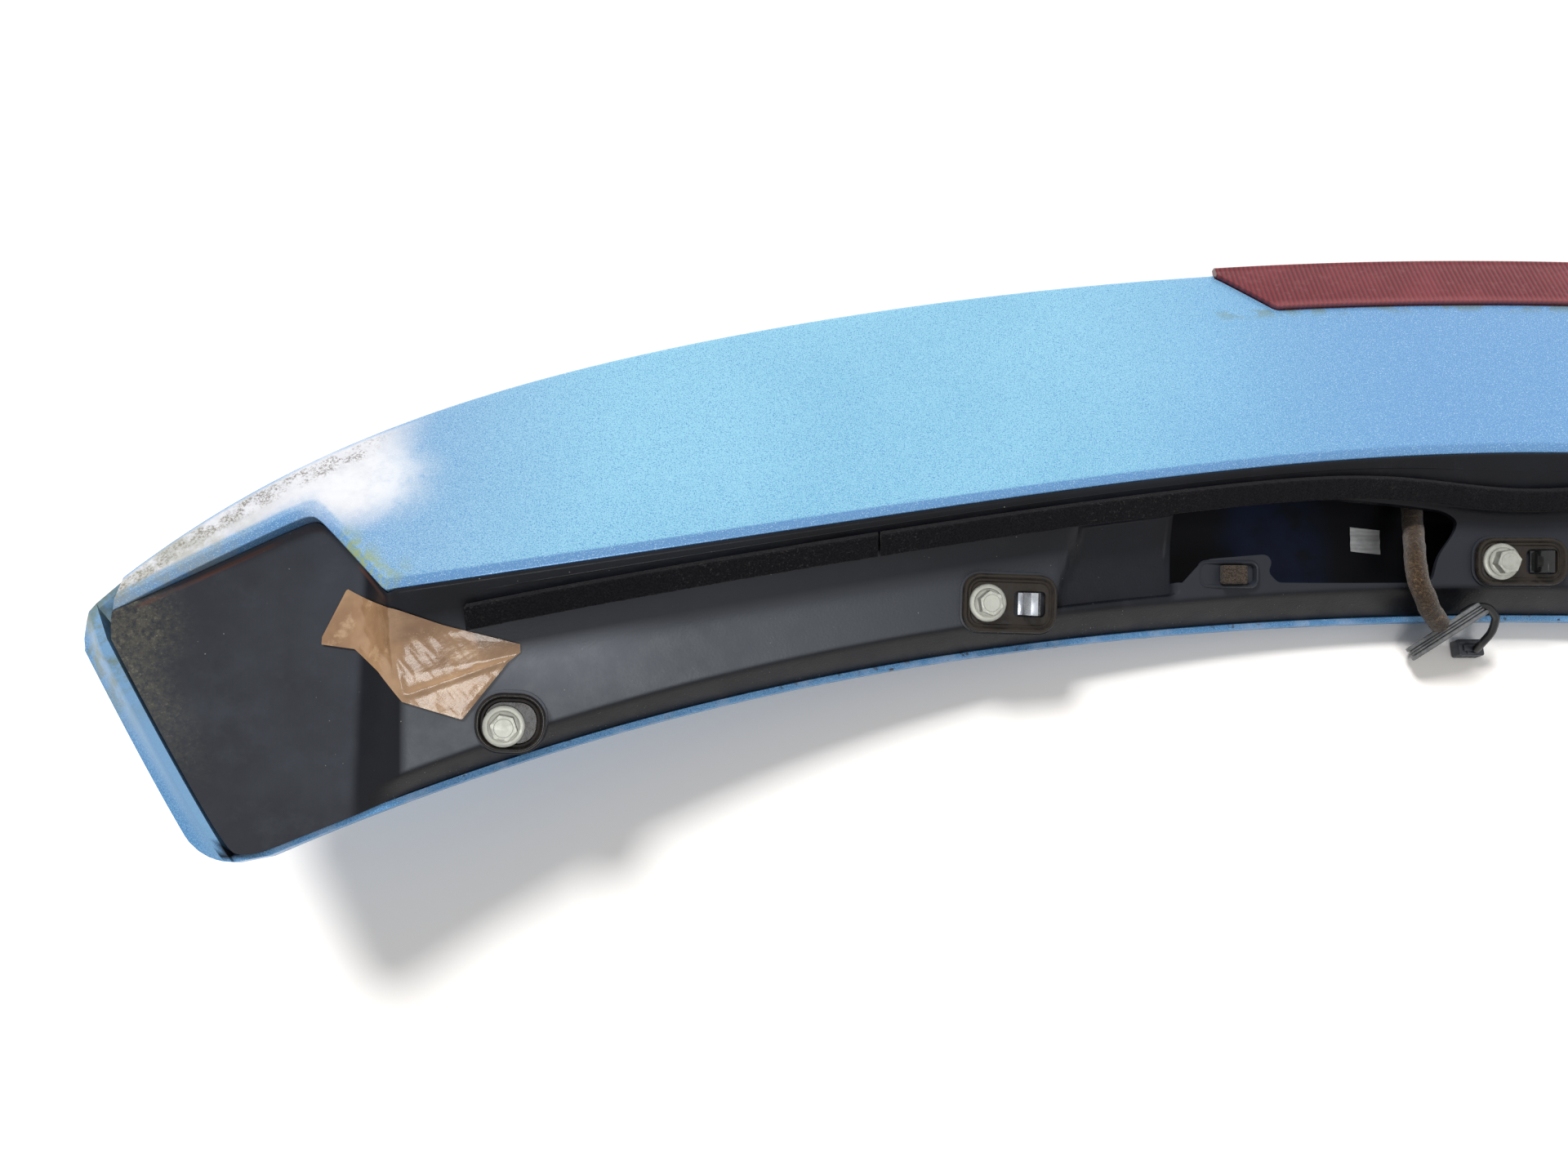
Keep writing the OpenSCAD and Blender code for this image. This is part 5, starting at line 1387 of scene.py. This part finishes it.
def label_point(u, v):
    x, y = (u - 0.5) * 14.5, (v - 0.5) * 12.5
    z = 0.12 * math.sin(v * 15) + 0.5 * max(0, u - 0.75) ** 2 * 8 + 0.4 * max(0, 0.2 - v) ** 2 * 10
    return label_m @ Vector((x, y, z))


piece(sheet("bare_label", 24, 24, label_point, 0.15), "cable_label", MAT["label_paper"])

TAPE_LEFT, TAPE_RIGHT = -530, -451.5
TAPE_BACK = [(TAPE_LEFT, -25.6), (-522, -5.5), (-498.6, -17.8), (-479.5, -22.6), (TAPE_RIGHT, -27.5)]
TAPE_FRONT = [(TAPE_LEFT, -28.6), (-517.6, -29.9), (-505.6, -40), (-495, -52.2), (-473.4, -57.9),
              (-456.3, -34.7), (TAPE_RIGHT, -30.5)]
TAPE_COLUMNS, TAPE_ROWS = 112, 60


def tape_point(u, v):
    x = mix(TAPE_LEFT, TAPE_RIGHT, u)
    a, b = lookup(x, TAPE_FRONT), lookup(x, TAPE_BACK)
    y = LEAD_Y + mix(a, b, v)
    fade = smooth(4 * min(u, 1 - u) + 0.2) * smooth(6 * min(v, 1 - v) + 0.25)
    w = 0.5 * noise.noise(Vector((x * 0.16, y * 0.11, 3)))
    w += 0.3 * noise.noise(Vector((x * 0.4 + y * 0.3, y * 0.1, 9)))
    fold = math.exp(-((x + 497 + 0.25 * (y - LEAD_Y + 40)) / 1.6) ** 2)
    crease = math.exp(-((y - LEAD_Y + 44 - 0.42 * (x + 480)) / 1.3) ** 2) * smooth((x + 497) / 8)
    z = 0.75 + fade * (0.35 + w * 0.6 + 0.7 * fold + 0.8 * crease)
    return Vector((x, y, base_top(x, y) + z))


tape = sheet("parcel_tape_film", TAPE_COLUMNS, TAPE_ROWS, tape_point, 0.09)
piece(tape, "tape_patch", MAT["parcel_tape"])

# ---------------------------------------------------------------- CAD nodes that stay
for node, slot in (("threaded_inserts", "insert_brass"), ("brake_lamp_housing", "lamp_housing"),
                   ("lamp_circuit_board", "board_green"), ("lamp_diodes", "diode_resin"),
                   ("lamp_seal", "seal_rubber")):
    for ms in nodes[node].material_slots:
        ms.material = MAT[slot]

# ---------------------------------------------------------------- floor, light and background
FLOOR_HALF = 4
FLOOR_LIT, FLOOR_SEEN = (0.8, 0.8, 0.8, 1), (1.08, 1.045, 1.005, 1)
SOFT_LIGHT, BACKGROUND = 0.44, 1.0
KEY_STRENGTH, KEY_ANGLE, KEY_DIRECTION = 2.9, 16, (0.42, -0.62, -0.95)

floor_mesh = bpy.data.meshes.new("floor")
floor_mesh.from_pydata([(x * FLOOR_HALF, y * FLOOR_HALF, 0) for x, y in ((-1, -1), (1, -1), (1, 1), (-1, 1))],
                       [], [(0, 1, 2, 3)])
floor = bpy.data.objects.new("floor", floor_mesh)
scene.collection.objects.link(floor)


def seen(tree):
    """1 for camera, glossy and transmission rays, 0 for the rest."""
    path = tree.nodes.new("ShaderNodeLightPath")
    first = tree.nodes.new("ShaderNodeMath")
    first.operation = "MAXIMUM"
    tree.links.new(path.outputs["Is Camera Ray"], first.inputs[0])
    tree.links.new(path.outputs["Is Glossy Ray"], first.inputs[1])
    second = tree.nodes.new("ShaderNodeMath")
    second.operation = "MAXIMUM"
    tree.links.new(first.outputs[0], second.inputs[0])
    tree.links.new(path.outputs["Is Transmission Ray"], second.inputs[1])
    return second.outputs[0]


floor_mat = bpy.data.materials.new("pale_floor")
floor_mat.use_nodes = True
ft = floor_mat.node_tree
ft.nodes.clear()
f_out = ft.nodes.new("ShaderNodeOutputMaterial")
f_dif = ft.nodes.new("ShaderNodeBsdfDiffuse")
f_mix = ft.nodes.new("ShaderNodeMix")
f_mix.data_type = "RGBA"
f_mix.inputs[6].default_value = FLOOR_LIT
f_mix.inputs[7].default_value = FLOOR_SEEN
ft.links.new(seen(ft), f_mix.inputs[0])
ft.links.new(f_mix.outputs[2], f_dif.inputs["Color"])
ft.links.new(f_dif.outputs[0], f_out.inputs["Surface"])
floor.data.materials.append(floor_mat)

world = bpy.data.worlds.new("studio")
scene.world = world
world.use_nodes = True
wt = world.node_tree
wt.nodes.clear()
w_out = wt.nodes.new("ShaderNodeOutputWorld")
w_soft = wt.nodes.new("ShaderNodeBackground")
w_soft.inputs["Strength"].default_value = SOFT_LIGHT
w_seen = wt.nodes.new("ShaderNodeBackground")
w_seen.inputs["Strength"].default_value = BACKGROUND
w_mix = wt.nodes.new("ShaderNodeMixShader")
wt.links.new(seen(wt), w_mix.inputs[0])
wt.links.new(w_soft.outputs[0], w_mix.inputs[1])
wt.links.new(w_seen.outputs[0], w_mix.inputs[2])
wt.links.new(w_mix.outputs[0], w_out.inputs["Surface"])


def lamp(name, place, target, size, watts):
    data = bpy.data.lights.new(name, "AREA")
    data.shape = "RECTANGLE"
    data.size, data.size_y = size
    data.energy = watts
    ob = bpy.data.objects.new(name, data)
    ob.location = place
    ob.rotation_euler = (Vector(target) - Vector(place)).to_track_quat("-Z", "Y").to_euler()
    scene.collection.objects.link(ob)


sun_data = bpy.data.lights.new("key", "SUN")
sun_data.energy = KEY_STRENGTH
sun_data.angle = math.radians(KEY_ANGLE)
sun = bpy.data.objects.new("key", sun_data)
sun.rotation_euler = Vector(KEY_DIRECTION).to_track_quat("-Z", "Y").to_euler()
sun.visible_glossy = False
scene.collection.objects.link(sun)
lamp("pad_light", (-0.08, -0.5, 1.05), (-0.4, -0.08, 0.07), (0.35, 0.3), 2.2)
